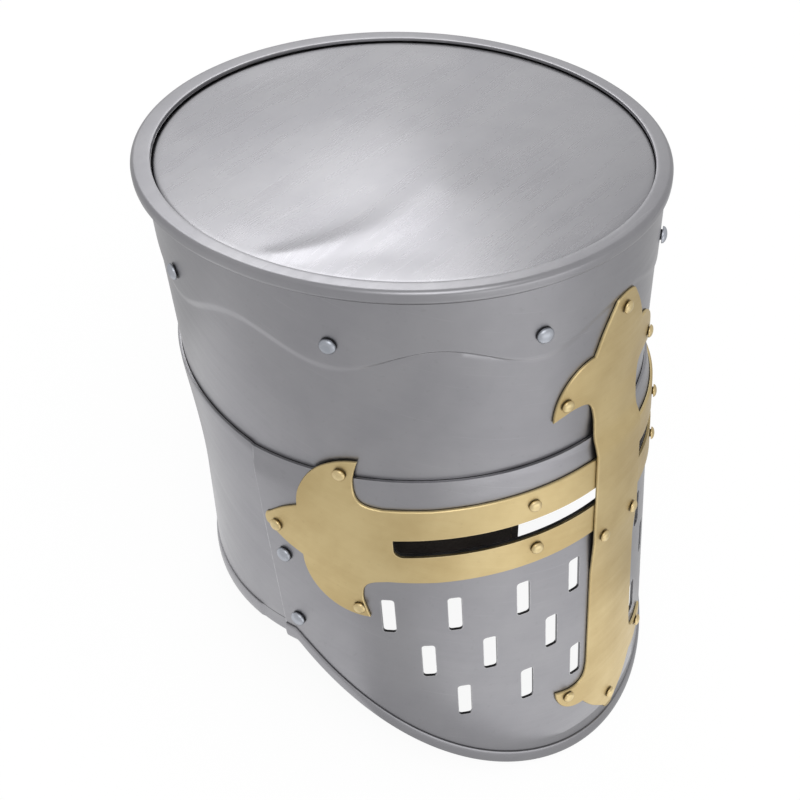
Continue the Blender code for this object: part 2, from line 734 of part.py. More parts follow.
def strap_line(start, finish, out, apex):
    """Points of one edge of a strap: up the liner, over the head and down again."""
    foot, shoulder = -CROWN_RIVET_DROP - 8.0 * MM, -CROWN_RIVET_DROP + 7.0 * MM
    rise = [wall_point(start, z, out) for z in (foot, -CROWN_RIVET_DROP, shoulder)]
    fall = [wall_point(finish, z, out) for z in (shoulder, -CROWN_RIVET_DROP, foot)]
    over = []
    for k in range(1, 12):
        share = k / 12.0
        spot = rise[-1].lerp(fall[0], share)
        spot.z = mix(shoulder, apex, math.sin(math.pi * share) ** 0.6)
        over.append(spot)
    return rise + over + fall


def make_strap(name, start, finish, apex, look, parent):
    upper_lines, lower_lines = [], []
    for side in (-1.0, 0.0, 1.0):
        turn = side * STRAP_HALF_ANGLE
        upper_lines.append(strap_line(start + turn, finish - turn, STRAP_OUT, apex))
        lower_lines.append(strap_line(start + turn, finish - turn, STRAP_IN, apex - LEATHER))
    sections = []
    for k in range(len(upper_lines[0])):
        sections.append(([line[k] for line in upper_lines], [line[k] for line in lower_lines]))
    return sheet(name, sections, False, look, parent)


def make_straps(look, parent):
    angles = crown_rivet_angles()
    high = -STRAP_APEX
    low = high - LEATHER - 1.5 * GAP
    return [
        make_strap("crown_strap_right", angles[1], angles[6], high, look, parent),
        make_strap("crown_strap_left", angles[5], angles[2], low, look, parent),
    ]


# Standing on chin and back hem

def stand(parent, face, back, everything):
    fronts = np.array([corner.co for corner in face.data.vertices])
    backs = np.array([corner.co for corner in back.data.vertices])

    def heights(points, lean):
        return points[:, 2] * math.cos(lean) - points[:, 1] * math.sin(lean)

    low, high = 0.0, math.radians(45.0)
    for _ in range(50):
        lean = 0.5 * (low + high)
        if heights(fronts, lean).min() < heights(backs, lean).min():
            low = lean
        else:
            high = lean
    points = np.array([corner.co for thing in everything for corner in thing.data.vertices])
    depths = points[:, 1] * math.cos(lean) + points[:, 2] * math.sin(lean)
    parent.rotation_euler = (-lean, 0.0, 0.0)
    parent.location = (0.0, -0.5 * (depths.min() + depths.max()), -heights(points, lean).min())


def main():
    clear_scene()
    steel = material("satin_steel", STEEL_COLOUR, 0.38, 1.0)
    rivet_steel = material("rivet_steel", RIVET_COLOUR, 0.3, 1.0)
    brass = material("satin_brass", BRASS_COLOUR, 0.4, 1.0)
    rivet_brass = material("rivet_brass", BRASS_COLOUR, 0.32, 1.0)
    leather = material("black_leather", LEATHER_COLOUR, 0.7, 0.0)
    looks = {"steel": rivet_steel, "brass": rivet_brass}

    helm = bpy.data.objects.new("helm", None)
    bpy.context.collection.objects.link(helm)

    band = make_upper_band(steel, helm)
    top = make_top_plate(steel, helm)
    face = make_face_plate(steel, helm)
    back = make_back_plate(steel, helm)
    arms = [make_arm("cross_arm_right", -1.0, brass, helm), make_arm("cross_arm_left", 1.0, brass, helm)]
    bar = make_bar(brass, helm)
    liner = make_liner(leather, helm)
    straps = make_straps(leather, helm)
    rivets = rivet_list()
    made_rivets = [make_rivet(rivet, looks, helm) for rivet in rivets]

    sights, breaths = make_openings(steel, helm)
    crown_rivets = [rivet for rivet in rivets if rivet[0].startswith("crown_")]
    face_rivets = [rivet for rivet in rivets if not rivet[0].startswith("crown_")]
    crown_drills = make_drills("crown_drills", crown_rivets, steel, helm)
    face_drills = make_drills("face_drills", face_rivets, steel, helm)
    for thing in (band, top, liner, *straps):
        cut(thing, crown_drills)
    for thing in (band, face, back, bar, *arms):
        cut(thing, face_drills)
    for thing in (face, *arms):
        cut(thing, sights)
    cut(face, breaths)

    stand(helm, face, back, [band, top, face, back, bar, liner, *arms, *straps, *made_rivets])


main()
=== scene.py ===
import json
import math

import bmesh
import bpy
import numpy as np
from mathutils import Matrix, Vector


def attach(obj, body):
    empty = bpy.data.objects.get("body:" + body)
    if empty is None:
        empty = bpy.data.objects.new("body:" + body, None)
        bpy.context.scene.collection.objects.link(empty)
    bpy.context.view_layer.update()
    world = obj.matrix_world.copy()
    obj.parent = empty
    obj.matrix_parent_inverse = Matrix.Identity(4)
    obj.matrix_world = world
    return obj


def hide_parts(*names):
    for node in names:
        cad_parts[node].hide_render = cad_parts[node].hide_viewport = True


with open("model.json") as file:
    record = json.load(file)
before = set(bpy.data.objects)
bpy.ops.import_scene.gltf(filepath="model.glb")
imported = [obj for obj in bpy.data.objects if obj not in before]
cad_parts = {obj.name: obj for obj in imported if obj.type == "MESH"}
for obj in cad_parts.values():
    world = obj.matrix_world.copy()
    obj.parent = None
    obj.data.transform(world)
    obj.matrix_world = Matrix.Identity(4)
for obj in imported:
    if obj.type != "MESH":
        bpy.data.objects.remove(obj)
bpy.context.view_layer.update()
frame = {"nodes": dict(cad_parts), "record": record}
print("frame loaded,", len(frame["nodes"]), "nodes")

# All helm shapes are drawn in millimetres with the crown at height 0 and the face towards -Y,
# then leaned back on to chin and back hem by toWorld, as the solids stand.
sheets = {"plate": 1.4, "brass": 1.2, "leather": 2.2, "gap": 0.3}
crownFace = frame["record"]["mounts"][0]
crownAxis = np.array(crownFace["axis"])
helm = {
    "lean": math.atan2(crownAxis[1], crownAxis[2]),
    "place": np.array(crownFace["pos_m"]) + 0.001 * (sheets["plate"] + sheets["gap"]) * crownAxis,
    "facePitch": math.tan(math.radians(5.0)),
    "edgeFrontPitch": math.tan(math.radians(1.65)),
    "edgeBackPitch": math.tan(math.radians(7.0)),
}

wall = {
    "crown": (106.0, 120.0, 118.0),  # half width, front, back
    "brow": (103.4, 115.4, 114.0),
    "hem": (108.4, 117.1, 101.3),
    "browDrop": 102.0,
    "hemDrop": 215.0,
    "seamDrop": 103.8,  # upper edge of the lower plates
    "browLine": 143.4,  # middle of the sights
    "edgeEase": 14.0,
}

# layers, as distances out from the outer face of the upper band
bandIn = -sheets["plate"]
skirtOut = bandIn - sheets["gap"]
skirtIn = skirtOut - sheets["plate"]
linerOut = skirtIn - sheets["gap"]
linerIn = linerOut - sheets["leather"]
strapOut = linerIn - sheets["gap"]
strapIn = strapOut - sheets["leather"]
plateIn = sheets["gap"]
plateOut = plateIn + sheets["plate"]
armIn = plateOut + sheets["gap"]
armOut = armIn + sheets["brass"]
barIn = armOut + sheets["gap"]
lapStep = sheets["plate"] + sheets["gap"]
bodyOut = plateOut + lapStep


def mix(a, b, share):
    return a + (b - a) * share


def smooth(value):
    t = np.clip(value, 0.0, 1.0)
    return t * t * (3.0 - 2.0 * t)


def quarterTurns(count):
    return np.linspace(0.0, math.pi / 2.0, count)


def turnFromFront(angle):
    return np.abs((np.asarray(angle, float) + math.pi) % (2.0 * math.pi) - math.pi)


# the oval wall

def halfSizes(z):
    drop = np.maximum(-np.asarray(z, float), 0.0)
    upper = drop / wall["browDrop"]
    lower = (drop - wall["browDrop"]) / (wall["hemDrop"] - wall["browDrop"])
    necking = np.sin(np.clip(2.0 * lower, 0.0, 1.0) * math.pi / 2.0)
    below = drop > wall["browDrop"]
    sizes = []
    for k in range(3):
        under = necking if k == 2 else lower
        high = mix(wall["crown"][k], wall["brow"][k], upper)
        low = mix(wall["brow"][k], wall["hem"][k], under)
        sizes.append(np.where(below, low, high))
    return sizes


def wallPoint(angle, z, out):
    angle, z, out = np.broadcast_arrays(np.asarray(angle, float), z, out)
    width, front, back = halfSizes(z)
    depth = np.where(np.cos(angle) > 0.0, front, back)
    return np.stack([(width + out) * np.sin(angle), -(depth + out) * np.cos(angle), z], axis=-1)


def wallNormal(angle, z):
    turn, rise = 0.035, 3.8
    along = wallPoint(angle + turn, z, 0.0) - wallPoint(angle - turn, z, 0.0)
    upward = wallPoint(angle, z + rise, 0.0) - wallPoint(angle, z - rise, 0.0)
    normal = np.cross(along, upward)
    return normal / np.linalg.norm(normal, axis=-1, keepdims=True)


def turnToWorld(points):
    c, s = math.cos(helm["lean"]), math.sin(helm["lean"])
    x, y, z = np.moveaxis(np.asarray(points, float), -1, 0)
    return np.stack([x, y * c + z * s, -y * s + z * c], axis=-1)


def toWorld(points):
    return turnToWorld(points) * 0.001 + helm["place"]


def arcTable():
    # lengths along the wall at the height of the sights, from the middle of the face
    width, front, _ = halfSizes(-wall["browLine"])
    reach, steps = math.radians(120.0), 1200
    angles = np.linspace(0.0, reach, steps + 1)
    speeds = np.hypot((width + bodyOut) * np.cos(angles), (front + bodyOut) * np.sin(angles))
    lengths = 0.5 * (speeds[1:] + speeds[:-1]) * np.diff(angles)
    return angles, np.concatenate([[0.0], np.cumsum(lengths)])


arcAngles, arcLengths = arcTable()


def facePlace(length, down):
    # angle and height of a spot given along the wall from the middle of the face
    down = np.asarray(down, float)
    browWidth, browFront, _ = halfSizes(-wall["browLine"])
    width, front, _ = halfSizes(-down)
    girth = (width + front + 2.0 * bodyOut) / (browWidth + browFront + 2.0 * bodyOut)
    local = np.asarray(length, float) / girth
    angle = np.sign(local) * np.interp(np.abs(local), arcLengths, arcAngles)
    return angle, -down + front * np.maximum(np.cos(angle), 0.0) * helm["facePitch"]


def edgeHeight(angle):
    # upper edge of the lower plates, which rises a little to the front and more to the back
    _, front, back = halfSizes(-wall["seamDrop"])
    along = np.cos(angle)
    frontRise = front * along * helm["edgeFrontPitch"]
    backRise = -back * along * helm["edgeBackPitch"]
    return -wall["seamDrop"] + np.where(along > 0.0, frontRise, backRise)


def faceLift(angle, z):
    # the face plate lies on the band along its upper edge, and stands out over the back plate below that
    return lapStep * smooth((edgeHeight(angle) - z) / wall["edgeEase"])


# mesh helpers

meshSize = {"sharpAngle": math.radians(32.0), "column": 3.0, "columnShift": 0.37, "mergeDistance": 1e-5}


def addObject(name, data):
    made = bpy.data.objects.new(name, data)
    bpy.context.collection.objects.link(made)
    return made


def shadeMesh(mesh):
    mesh.polygons.foreach_set("use_smooth", [True] * len(mesh.polygons))
    mesh.set_sharp_from_angle(angle=meshSize["sharpAngle"])


def newPiece(name, points, faces, look):
    mesh = bpy.data.meshes.new(name)
    mesh.from_pydata([tuple(p) for p in points], [], [tuple(f) for f in faces])
    return closePiece(name, mesh, look)


def closePiece(name, mesh, look):
    solid = bmesh.new()
    solid.from_mesh(mesh)
    bmesh.ops.recalc_face_normals(solid, faces=solid.faces)
    if solid.calc_volume(signed=True) < 0.0:
        bmesh.ops.reverse_faces(solid, faces=solid.faces)
    solid.to_mesh(mesh)
    solid.free()
    mesh.materials.clear()
    mesh.materials.append(look)
    shadeMesh(mesh)
    return addObject(name, mesh)


def gridFaces(columns, size, closed, wrap):
    faces = []
    for i in range(columns if closed else columns - 1):
        a, b = i * size, ((i + 1) % columns) * size
        for j in range(size if wrap else size - 1):
            k = (j + 1) % size
            faces.append((a + j, a + k, b + k, b + j))
    return faces


def sheetPiece(name, outer, inner, closed, look):
    # outer and inner are grids of points: columns round the helm, rows from edge to edge
    rings = np.concatenate([outer, inner[:, ::-1]], axis=1)
    columns, size = rings.shape[:2]
    faces = gridFaces(columns, size, closed, True)
    if not closed:
        last = (columns - 1) * size
        faces.append(tuple(range(size)))
        faces.append(tuple(range(last + size - 1, last - 1, -1)))
    return newPiece(name, toWorld(rings).reshape(-1, 3), faces, look)


def wrapPiece(name, outlines, inner, outer, look, column=meshSize["column"], rows=(), bevel=()):
    # flat outlines of (length, drop) bent on to the face between two distances out; the columns are
    # shifted to keep their cuts off the outlines' own points
    flat = bmesh.new()
    for outline in outlines:
        face = flat.faces.new([flat.verts.new((s, h, 0.0)) for s, h in outline])
        lifted = bmesh.ops.extrude_face_region(flat, geom=[face])["geom"]
        tops = [part for part in lifted if isinstance(part, bmesh.types.BMFace)]
        for corner in (part for part in lifted if isinstance(part, bmesh.types.BMVert)):
            corner.co.z = 0.5 if bevel else 1.0
        for inset, share in bevel:
            bmesh.ops.inset_region(flat, faces=tops, thickness=inset, use_even_offset=True)
            for corner in {v for top in tops for v in top.verts}:
                corner.co.z = share
    lengths = [corner.co.x for corner in flat.verts]
    cuts = []
    for k in range(math.ceil(min(lengths) / column), math.floor(max(lengths) / column) + 1):
        cuts.append((Vector((k * column + meshSize["columnShift"], 0.0, 0.0)), Vector((1.0, 0.0, 0.0))))
    cuts += [(Vector((0.0, row, 0.0)), Vector((0.0, 1.0, 0.0))) for row in rows]
    for spot, direction in cuts:
        everything = flat.verts[:] + flat.edges[:] + flat.faces[:]
        bmesh.ops.bisect_plane(
            flat, geom=everything, dist=meshSize["mergeDistance"], plane_co=spot, plane_no=direction
        )
    bmesh.ops.triangulate(flat, faces=[face for face in flat.faces if len(face.verts) > 4])
    places = np.array([corner.co for corner in flat.verts])
    angle, z = facePlace(places[:, 0], places[:, 1])
    bent = toWorld(wallPoint(angle, z, mix(inner(angle, z), outer(angle, z), places[:, 2])))
    for corner, spot in zip(flat.verts, bent):
        corner.co = spot
    mesh = bpy.data.meshes.new(name)
    flat.to_mesh(mesh)
    flat.free()
    return closePiece(name, mesh, look)


def cutPiece(piece, cutter):
    hole = piece.modifiers.new("hole", "BOOLEAN")
    hole.operation = "DIFFERENCE"
    hole.solver = "EXACT"
    hole.object = cutter
    settle(piece)
    shadeMesh(piece.data)


def settle(piece):
    # turns the evaluated piece into a plain mesh and drops its modifiers
    graph = bpy.context.evaluated_depsgraph_get()
    mesh = bpy.data.meshes.new_from_object(piece.evaluated_get(graph))
    piece.modifiers.clear()
    piece.data = mesh


def drop(*things):
    for thing in things:
        bpy.data.objects.remove(thing)


# shared shader groups

def nodeGroup(name, inputs, outputs):
    group = bpy.data.node_groups.new(name, "ShaderNodeTree")
    for label, value in inputs:
        socket = group.interface.new_socket(label, in_out="INPUT", socket_type="NodeSocketFloat")
        socket.default_value = value
    for label in outputs:
        group.interface.new_socket(label, in_out="OUTPUT", socket_type="NodeSocketFloat")
    return group, group.nodes.new("NodeGroupInput"), group.nodes.new("NodeGroupOutput")


def addNode(tree, kind, links=(), **settings):
    node = tree.nodes.new(kind)
    for key, value in settings.items():
        if hasattr(node, key):
            setattr(node, key, value)
        else:
            node.inputs[key].default_value = value
    for socket, source in links:
        tree.links.new(source, node.inputs[socket])
    return node


def mathNode(tree, operation, a, b):
    node = addNode(tree, "ShaderNodeMath", operation=operation)
    for index, value in enumerate((a, b)):
        if isinstance(value, (int, float)):
            node.inputs[index].default_value = value
        else:
            tree.links.new(value, node.inputs[index])
    return node.outputs[0]


def rangeNode(tree, value, low, high, toLow=0.0, toHigh=1.0):
    node = tree.nodes.new("ShaderNodeMapRange")
    node.interpolation_type = "SMOOTHSTEP"
    tree.links.new(value, node.inputs["Value"])
    for label, number in (("From Min", low), ("From Max", high), ("To Min", toLow), ("To Max", toHigh)):
        node.inputs[label].default_value = number
    return node.outputs["Result"]


def noiseNode(tree, vector, scale, detail, roughness):
    node = addNode(tree, "ShaderNodeTexNoise", [("Vector", vector)], Detail=detail, Roughness=roughness)
    if isinstance(scale, (int, float)):
        node.inputs["Scale"].default_value = scale
    else:
        tree.links.new(scale, node.inputs["Scale"])
    return node.outputs["Fac"]


def mixColour(tree, factor, a, b):
    node = tree.nodes.new("ShaderNodeMix")
    node.data_type = "RGBA"
    tree.links.new(factor, node.inputs["Factor"])
    for label, value in (("A", a), ("B", b)):
        socket = next(s for s in node.inputs if s.name == label and s.type == "RGBA")
        if isinstance(value, tuple):
            socket.default_value = (*value, 1.0)
        else:
            tree.links.new(value, socket)
    return next(s for s in node.outputs if s.type == "RGBA")


def newMaterial(name):
    made = bpy.data.materials.new(name)
    made.use_nodes = True
    return made, made.node_tree, made.node_tree.nodes["Principled BSDF"]


def addBump(tree, shader, height, strength, depth):
    bump = addNode(tree, "ShaderNodeBump", [("Height", height)], Strength=strength, Distance=depth)
    tree.links.new(bump.outputs["Normal"], shader.inputs["Normal"])


def metalSurfaceGroup():
    # broad clouding, fine rubbing marks, a fine grain of worked metal, small pits and hair scratches
    group, given, result = nodeGroup(
        "metalSurface",
        (("Cloud Scale", 22.0), ("Grain Scale", 900.0), ("Rub Stretch", 18.0)),
        ("Cloud", "Rubbing", "Grain", "Specks", "Scratches"),
    )
    place = group.nodes.new("ShaderNodeTexCoord").outputs["Object"]
    cloud = noiseNode(group, place, given.outputs["Cloud Scale"], 4.0, 0.6)
    stretched = []
    for turn, squeeze in (((0.35, 0.5, 0.2), 22.0), ((1.2, 0.3, 0.9), 60.0)):
        stretch = addNode(
            group, "ShaderNodeMapping", [("Vector", place)], Scale=(1.0, 1.0, squeeze), Rotation=turn
        )
        stretched.append(stretch.outputs["Vector"])
    rub = noiseNode(group, stretched[0], given.outputs["Rub Stretch"], 5.0, 0.7)
    hairs = noiseNode(group, stretched[1], 26.0, 2.0, 0.6)
    grain = noiseNode(group, place, given.outputs["Grain Scale"], 2.0, 0.5)
    specks = noiseNode(group, place, 420.0, 1.0, 0.5)
    group.links.new(cloud, result.inputs["Cloud"])
    group.links.new(rub, result.inputs["Rubbing"])
    group.links.new(grain, result.inputs["Grain"])
    group.links.new(rangeNode(group, specks, 0.68, 0.76), result.inputs["Specks"])
    group.links.new(rangeNode(group, hairs, 0.66, 0.72), result.inputs["Scratches"])
    return group


def shadeSheenAndWearGroup():
    # painted shade where surfaces meet: occlusion darkens gaps, seams and creases; and along outer edges a
    # lighter band that is partly bare worn metal and partly a painted edge highlight
    group, given, result = nodeGroup(
        "shadeSheenAndWear", (("Shade Reach", 0.0007), ("Edge Reach", 0.0008)), ("Crevice Shade", "Edge")
    )
    kind = "ShaderNodeAmbientOcclusion"
    hollow = addNode(group, kind, [("Distance", given.outputs["Shade Reach"])], samples=12)
    corner = addNode(
        group, kind, [("Distance", given.outputs["Edge Reach"])], samples=8, inside=True, only_local=True
    )
    # occlusion from outside gives the painted shade in gaps, seams, creases and round rivet heads
    group.links.new(rangeNode(group, hollow.outputs["AO"], 0.3, 0.8, 1.0, 0.0), result.inputs["Crevice Shade"])
    # occlusion from inside finds convex edges, lightened as worn metal and as a painted edge highlight
    group.links.new(rangeNode(group, corner.outputs["AO"], 0.45, 0.95, 1.0, 0.0), result.inputs["Edge"])
    return group


metalSurface = metalSurfaceGroup()
shadeSheenAndWear = shadeSheenAndWearGroup()

# in each look the dirt colour darkens small pits and is the painted shade in crevices; the edge colour
# lightens hair scratches, worn edges and painted edge highlights
steelLook = {
    "dark": (0.224, 0.222, 0.236), "light": (0.252, 0.25, 0.262), "edge": (0.46, 0.46, 0.47),
    "dirtAndShade": (0.045, 0.043, 0.044), "roughness": (0.34, 0.4), "bump": 0.04, "tint": 0.85,
}
topLook = {**steelLook, "roughness": (0.25, 0.31), "bump": 0.012}  # rubbed brighter than the walls
rivetLook = {
    "dark": (0.27, 0.285, 0.315), "light": (0.36, 0.375, 0.41), "edge": (0.42, 0.43, 0.46),
    "dirtAndShade": (0.03, 0.03, 0.032), "roughness": (0.34, 0.42), "bump": 0.05, "tint": 0.7,
}
brassLook = {
    "dark": (0.4, 0.305, 0.15), "light": (0.5, 0.4, 0.215), "edge": (0.66, 0.56, 0.34),
    "dirtAndShade": (0.07, 0.05, 0.025), "roughness": (0.38, 0.47), "bump": 0.05, "tint": 0.75,
}
brassRivetLook = {
    "dark": (0.42, 0.325, 0.165), "light": (0.54, 0.43, 0.24), "edge": (0.62, 0.52, 0.3),
    "dirtAndShade": (0.05, 0.037, 0.02), "roughness": (0.34, 0.42), "bump": 0.05, "tint": 0.75,
}


# specks and scratches are the metal's own marks; the dirt amount sets how dark the painted shade in crevices
# is
metalWearAndShade = {"specks": 0.05, "scratches": 0.08, "dirtAndShade": 0.85, "dull": 0.2, "bumpDepth": 0.0004}


def metalMaterial(name, look):
    made, tree, shader = newMaterial(name)
    shader.inputs["Metallic"].default_value = 1.0
    shader.inputs["Specular Tint"].default_value = (look["tint"], look["tint"], look["tint"], 1.0)
    surface = addNode(tree, "ShaderNodeGroup", node_tree=metalSurface)
    wearShadeAndSheen = addNode(tree, "ShaderNodeGroup", node_tree=shadeSheenAndWear)
    cloud = rangeNode(tree, surface.outputs["Cloud"], 0.25, 0.75)
    colour = mixColour(tree, cloud, look["dark"], look["light"])
    # edges are lightened by an amount that varies with the rubbing marks: partly wear, partly painted
    # highlight
    rubbed = rangeNode(tree, surface.outputs["Rubbing"], 0.35, 0.6, 0.1, 0.6)
    # the edge mask lightens edges as wear and as painted highlight; the occlusion mask darkens crevices with
    # painted shade
    for mask, amount, tone in (
        (surface.outputs["Specks"], metalWearAndShade["specks"], "dirtAndShade"),
        (surface.outputs["Scratches"], metalWearAndShade["scratches"], "edge"),
        (wearShadeAndSheen.outputs["Edge"], rubbed, "edge"),
        (wearShadeAndSheen.outputs["Crevice Shade"], metalWearAndShade["dirtAndShade"], "dirtAndShade"),
    ):
        colour = mixColour(tree, mathNode(tree, "MULTIPLY", mask, amount), colour, look[tone])
    tree.links.new(colour, shader.inputs["Base Color"])
    rough = rangeNode(tree, surface.outputs["Rubbing"], 0.25, 0.75, *look["roughness"])
    dull = mathNode(tree, "MULTIPLY", wearShadeAndSheen.outputs["Crevice Shade"], metalWearAndShade["dull"])
    tree.links.new(mathNode(tree, "ADD", rough, dull), shader.inputs["Roughness"])
    height = mathNode(tree, "ADD", surface.outputs["Grain"], surface.outputs["Rubbing"])
    height = mathNode(tree, "SUBTRACT", height, surface.outputs["Scratches"])
    addBump(tree, shader, height, look["bump"], metalWearAndShade["bumpDepth"])
    return made


leatherLook = {
    "dark": (0.012, 0.009, 0.008), "light": (0.035, 0.026, 0.02), "worn": (0.09, 0.062, 0.042),
    "roughness": (0.5, 0.75), "cloud": 30.0, "rubbed": 0.6, "grain": 700.0, "bump": 0.35, "bumpDepth": 0.0005,
}
threadLook = {"dark": (0.05, 0.036, 0.024), "light": (0.12, 0.09, 0.06), "twist": 1500.0, "roughness": 0.8}


def leatherMaterial(name, look):
    made, tree, shader = newMaterial(name)
    place = tree.nodes.new("ShaderNodeTexCoord").outputs["Object"]
    wearShadeAndSheen = addNode(tree, "ShaderNodeGroup", node_tree=shadeSheenAndWear)
    cloud = noiseNode(tree, place, look["cloud"], 4.0, 0.6)
    pebble = addNode(tree, "ShaderNodeTexVoronoi", [("Vector", place)], Scale=look["grain"])
    colour = mixColour(tree, rangeNode(tree, cloud, 0.3, 0.75), look["dark"], look["light"])
    rubbed = mathNode(tree, "MULTIPLY", wearShadeAndSheen.outputs["Edge"], look["rubbed"])
    colour = mixColour(tree, rubbed, colour, look["worn"])
    tree.links.new(colour, shader.inputs["Base Color"])
    tree.links.new(rangeNode(tree, cloud, 0.3, 0.7, *look["roughness"]), shader.inputs["Roughness"])
    addBump(tree, shader, pebble.outputs["Distance"], look["bump"], look["bumpDepth"])
    return made


def threadMaterial(name, look):
    made, tree, shader = newMaterial(name)
    shader.inputs["Roughness"].default_value = look["roughness"]
    place = tree.nodes.new("ShaderNodeTexCoord").outputs["Object"]
    fibres = noiseNode(tree, place, look["twist"], 2.0, 0.5)
    colour = mixColour(tree, rangeNode(tree, fibres, 0.35, 0.65), look["dark"], look["light"])
    tree.links.new(colour, shader.inputs["Base Color"])
    return made


steel = metalMaterial("satinSteel", steelLook)
topSteel = metalMaterial("topSteel", topLook)
rivetSteel = metalMaterial("rivetSteel", rivetLook)
brass = metalMaterial("satinBrass", brassLook)
rivetBrass = metalMaterial("rivetBrass", brassRivetLook)
leather = leatherMaterial("blackLeather", leatherLook)
thread = threadMaterial("waxedThread", threadLook)
print("materials made")

# upper band with its rolled rim, and the print of the top plate's skirt pressed into it

bandSize = {
    "drop": 114.0, "rimBulge": 3.0, "rimFlare": 4.0, "rimWidth": 7.4, "rimDepth": 7.0,
    "rollHeight": 2.8, "rimCorner": 2.2, "rollGap": 0.4, "rollFoot": 0.2, "columns": 288,
    # rows of the rim's inner edge, and of the inner face below it, as heights and distances out
    "rimLip": ((0.0, 1.5), (0.0, 0.35), (-0.1, 0.1), (-0.35, 0.0)),
    "inside": ((-60.0, 0.0), (-20.0, 0.0), (-4.2, 0.0), (-3.0, -0.2), (-1.9, -0.9)),
}
skirtSize = {
    "drop": 43.0, "scallop": 12.0, "first": math.radians(24.5), "step": math.radians(44.5),
    "print": 0.7, "printEdge": 0.9, "softEdge": 5.0, "printGroove": 0.55, "rivetDrop": 31.0,
    "sharpest": math.radians(46.0), "sharpSpan": math.radians(24.0),
}


def crownRivetAngles():
    side = [skirtSize["first"] + k * skirtSize["step"] for k in range(4)]
    return [-a for a in side] + side


def skirtBottom(angle):
    # the skirt hangs lowest at each crown rivet and is scalloped away between them
    spans = [turnFromFront(angle - at) for at in crownRivetAngles()]
    swing = np.minimum(np.min(spans, axis=0) / skirtSize["step"], 0.5)
    return -skirtSize["drop"] + skirtSize["scallop"] * 0.5 * (1.0 - np.cos(2.0 * math.pi * swing))


def rimEdge(bulge):
    # distance out of the rim's inner edge
    size = bandSize
    return size["rimBulge"] - size["rimWidth"] + 0.4 * (bulge - size["rimBulge"])


def bandLowRows():
    # heights, from the lower edge up to the brow, that the outer and inner faces share
    return -bandSize["drop"], -0.5 * (bandSize["drop"] + wall["browDrop"]), -wall["browDrop"]


def bandRows(angles):
    # (heights, distances out) of each row from the lower edge up over the rim to its inner edge
    size = bandSize
    bulge = size["rimBulge"] + size["rimFlare"] * np.maximum(-np.cos(angles), 0.0)
    low, step = skirtBottom(angles), skirtSize["print"]
    soft = smooth(np.abs(turnFromFront(angles) - skirtSize["sharpest"]) / skirtSize["sharpSpan"])
    edge = mix(skirtSize["printEdge"], skirtSize["softEdge"], soft)
    groove = skirtSize["printGroove"] * (1.0 - soft)
    rows = [(z, 0.0) for z in bandLowRows()]
    for t in np.linspace(0.0, 1.0, 26)[1:]:
        rows.append((mix(-wall["browDrop"], low - 0.5 * edge, t), 0.0))
    for t in np.linspace(0.0, 1.0, 11)[1:]:
        dip = groove * math.exp(-((t - 0.35) / 0.2) ** 2)
        rows.append((low + (t - 0.5) * edge, step * float(smooth(t)) - dip))
    for t in np.linspace(0.0, 1.0, 12)[1:]:
        rows.append((mix(low + 0.5 * edge, -size["rimDepth"] - size["rollGap"], t), step))
    for turn in quarterTurns(8):
        rise = size["rollHeight"] * (1.0 - math.cos(turn))
        rows.append((rise - size["rimDepth"], mix(size["rollFoot"] * step, bulge, math.sin(turn))))
    corner = size["rimCorner"]
    for turn in quarterTurns(9):
        rows.append((corner * (math.sin(turn) - 1.0), bulge + corner * (math.cos(turn) - 1.0)))
    inner = rimEdge(bulge)
    rows += [(z, inner + out) for z, out in size["rimLip"]]
    z = np.concatenate([row[0] + 0.0 * angles for row in rows], axis=1)
    out = np.concatenate([row[1] + 0.0 * angles for row in rows], axis=1)
    return z, out, inner


def makeBand():
    size, plate = bandSize, sheets["plate"]
    angles = np.linspace(0.0, 2.0 * math.pi, size["columns"], endpoint=False)[:, None]
    z, out, rim = bandRows(angles)
    outer = wallPoint(angles, z, out)
    back = [(height, bandIn) for height in bandLowRows()]
    back += [(height, bandIn + away) for height, away in size["inside"]]
    back += [(-plate, bandIn - 2.0), (-plate, rim)]
    inner = np.concatenate([wallPoint(angles, height, away) for height, away in back], axis=1)
    piece = sheetPiece("upperBand", outer, inner, True, steel)
    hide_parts("upper_band")
    return piece


# each wave of the uneven sheet has a length, a direction and a phase
topSize = {
    "rings": 48, "wave": 0.15, "waves": ((19.0, 0.3, 1.3), (26.0, 1.7, 0.4), (14.0, 2.6, 2.1)),
    "foldHeight": 0.6, "foldWidth": (5.5, 20.0), "foldStart": -97.0, "foldTurn": -35.0, "foldEnd": 20.0,
    "foldLine": -37.0, "foldBend": (24.0, 4.6), "foldFade": 40.0,
    "waveEase": 0.2, "foldEase": 0.06, "hub": 0.02, "bend": 3.2,
}


def topUneven(x, y):
    # slow waves, and a low fold that is sharp at the rim on the right and fades out towards the middle
    size = topSize
    swell = 0.0
    for length, way, phase in size["waves"]:
        swell = swell + np.sin((x * math.cos(way) + y * math.sin(way)) / length + phase)
    start, turn, end = size["foldStart"], size["foldTurn"], size["foldEnd"]
    before = size["foldBend"][0] * ((x - turn) / (start - turn)) ** 2
    after = size["foldBend"][1] * ((x - turn) / (end - turn)) ** 2
    line = size["foldLine"] + np.where(x < turn, before, after)
    width = mix(*size["foldWidth"], np.clip((x - start) / (end - start), 0.0, 1.0))
    fold = size["foldHeight"] * np.exp(-((y - line) / width) ** 2) * smooth((end - x) / size["foldFade"])
    return size["wave"] * swell, fold


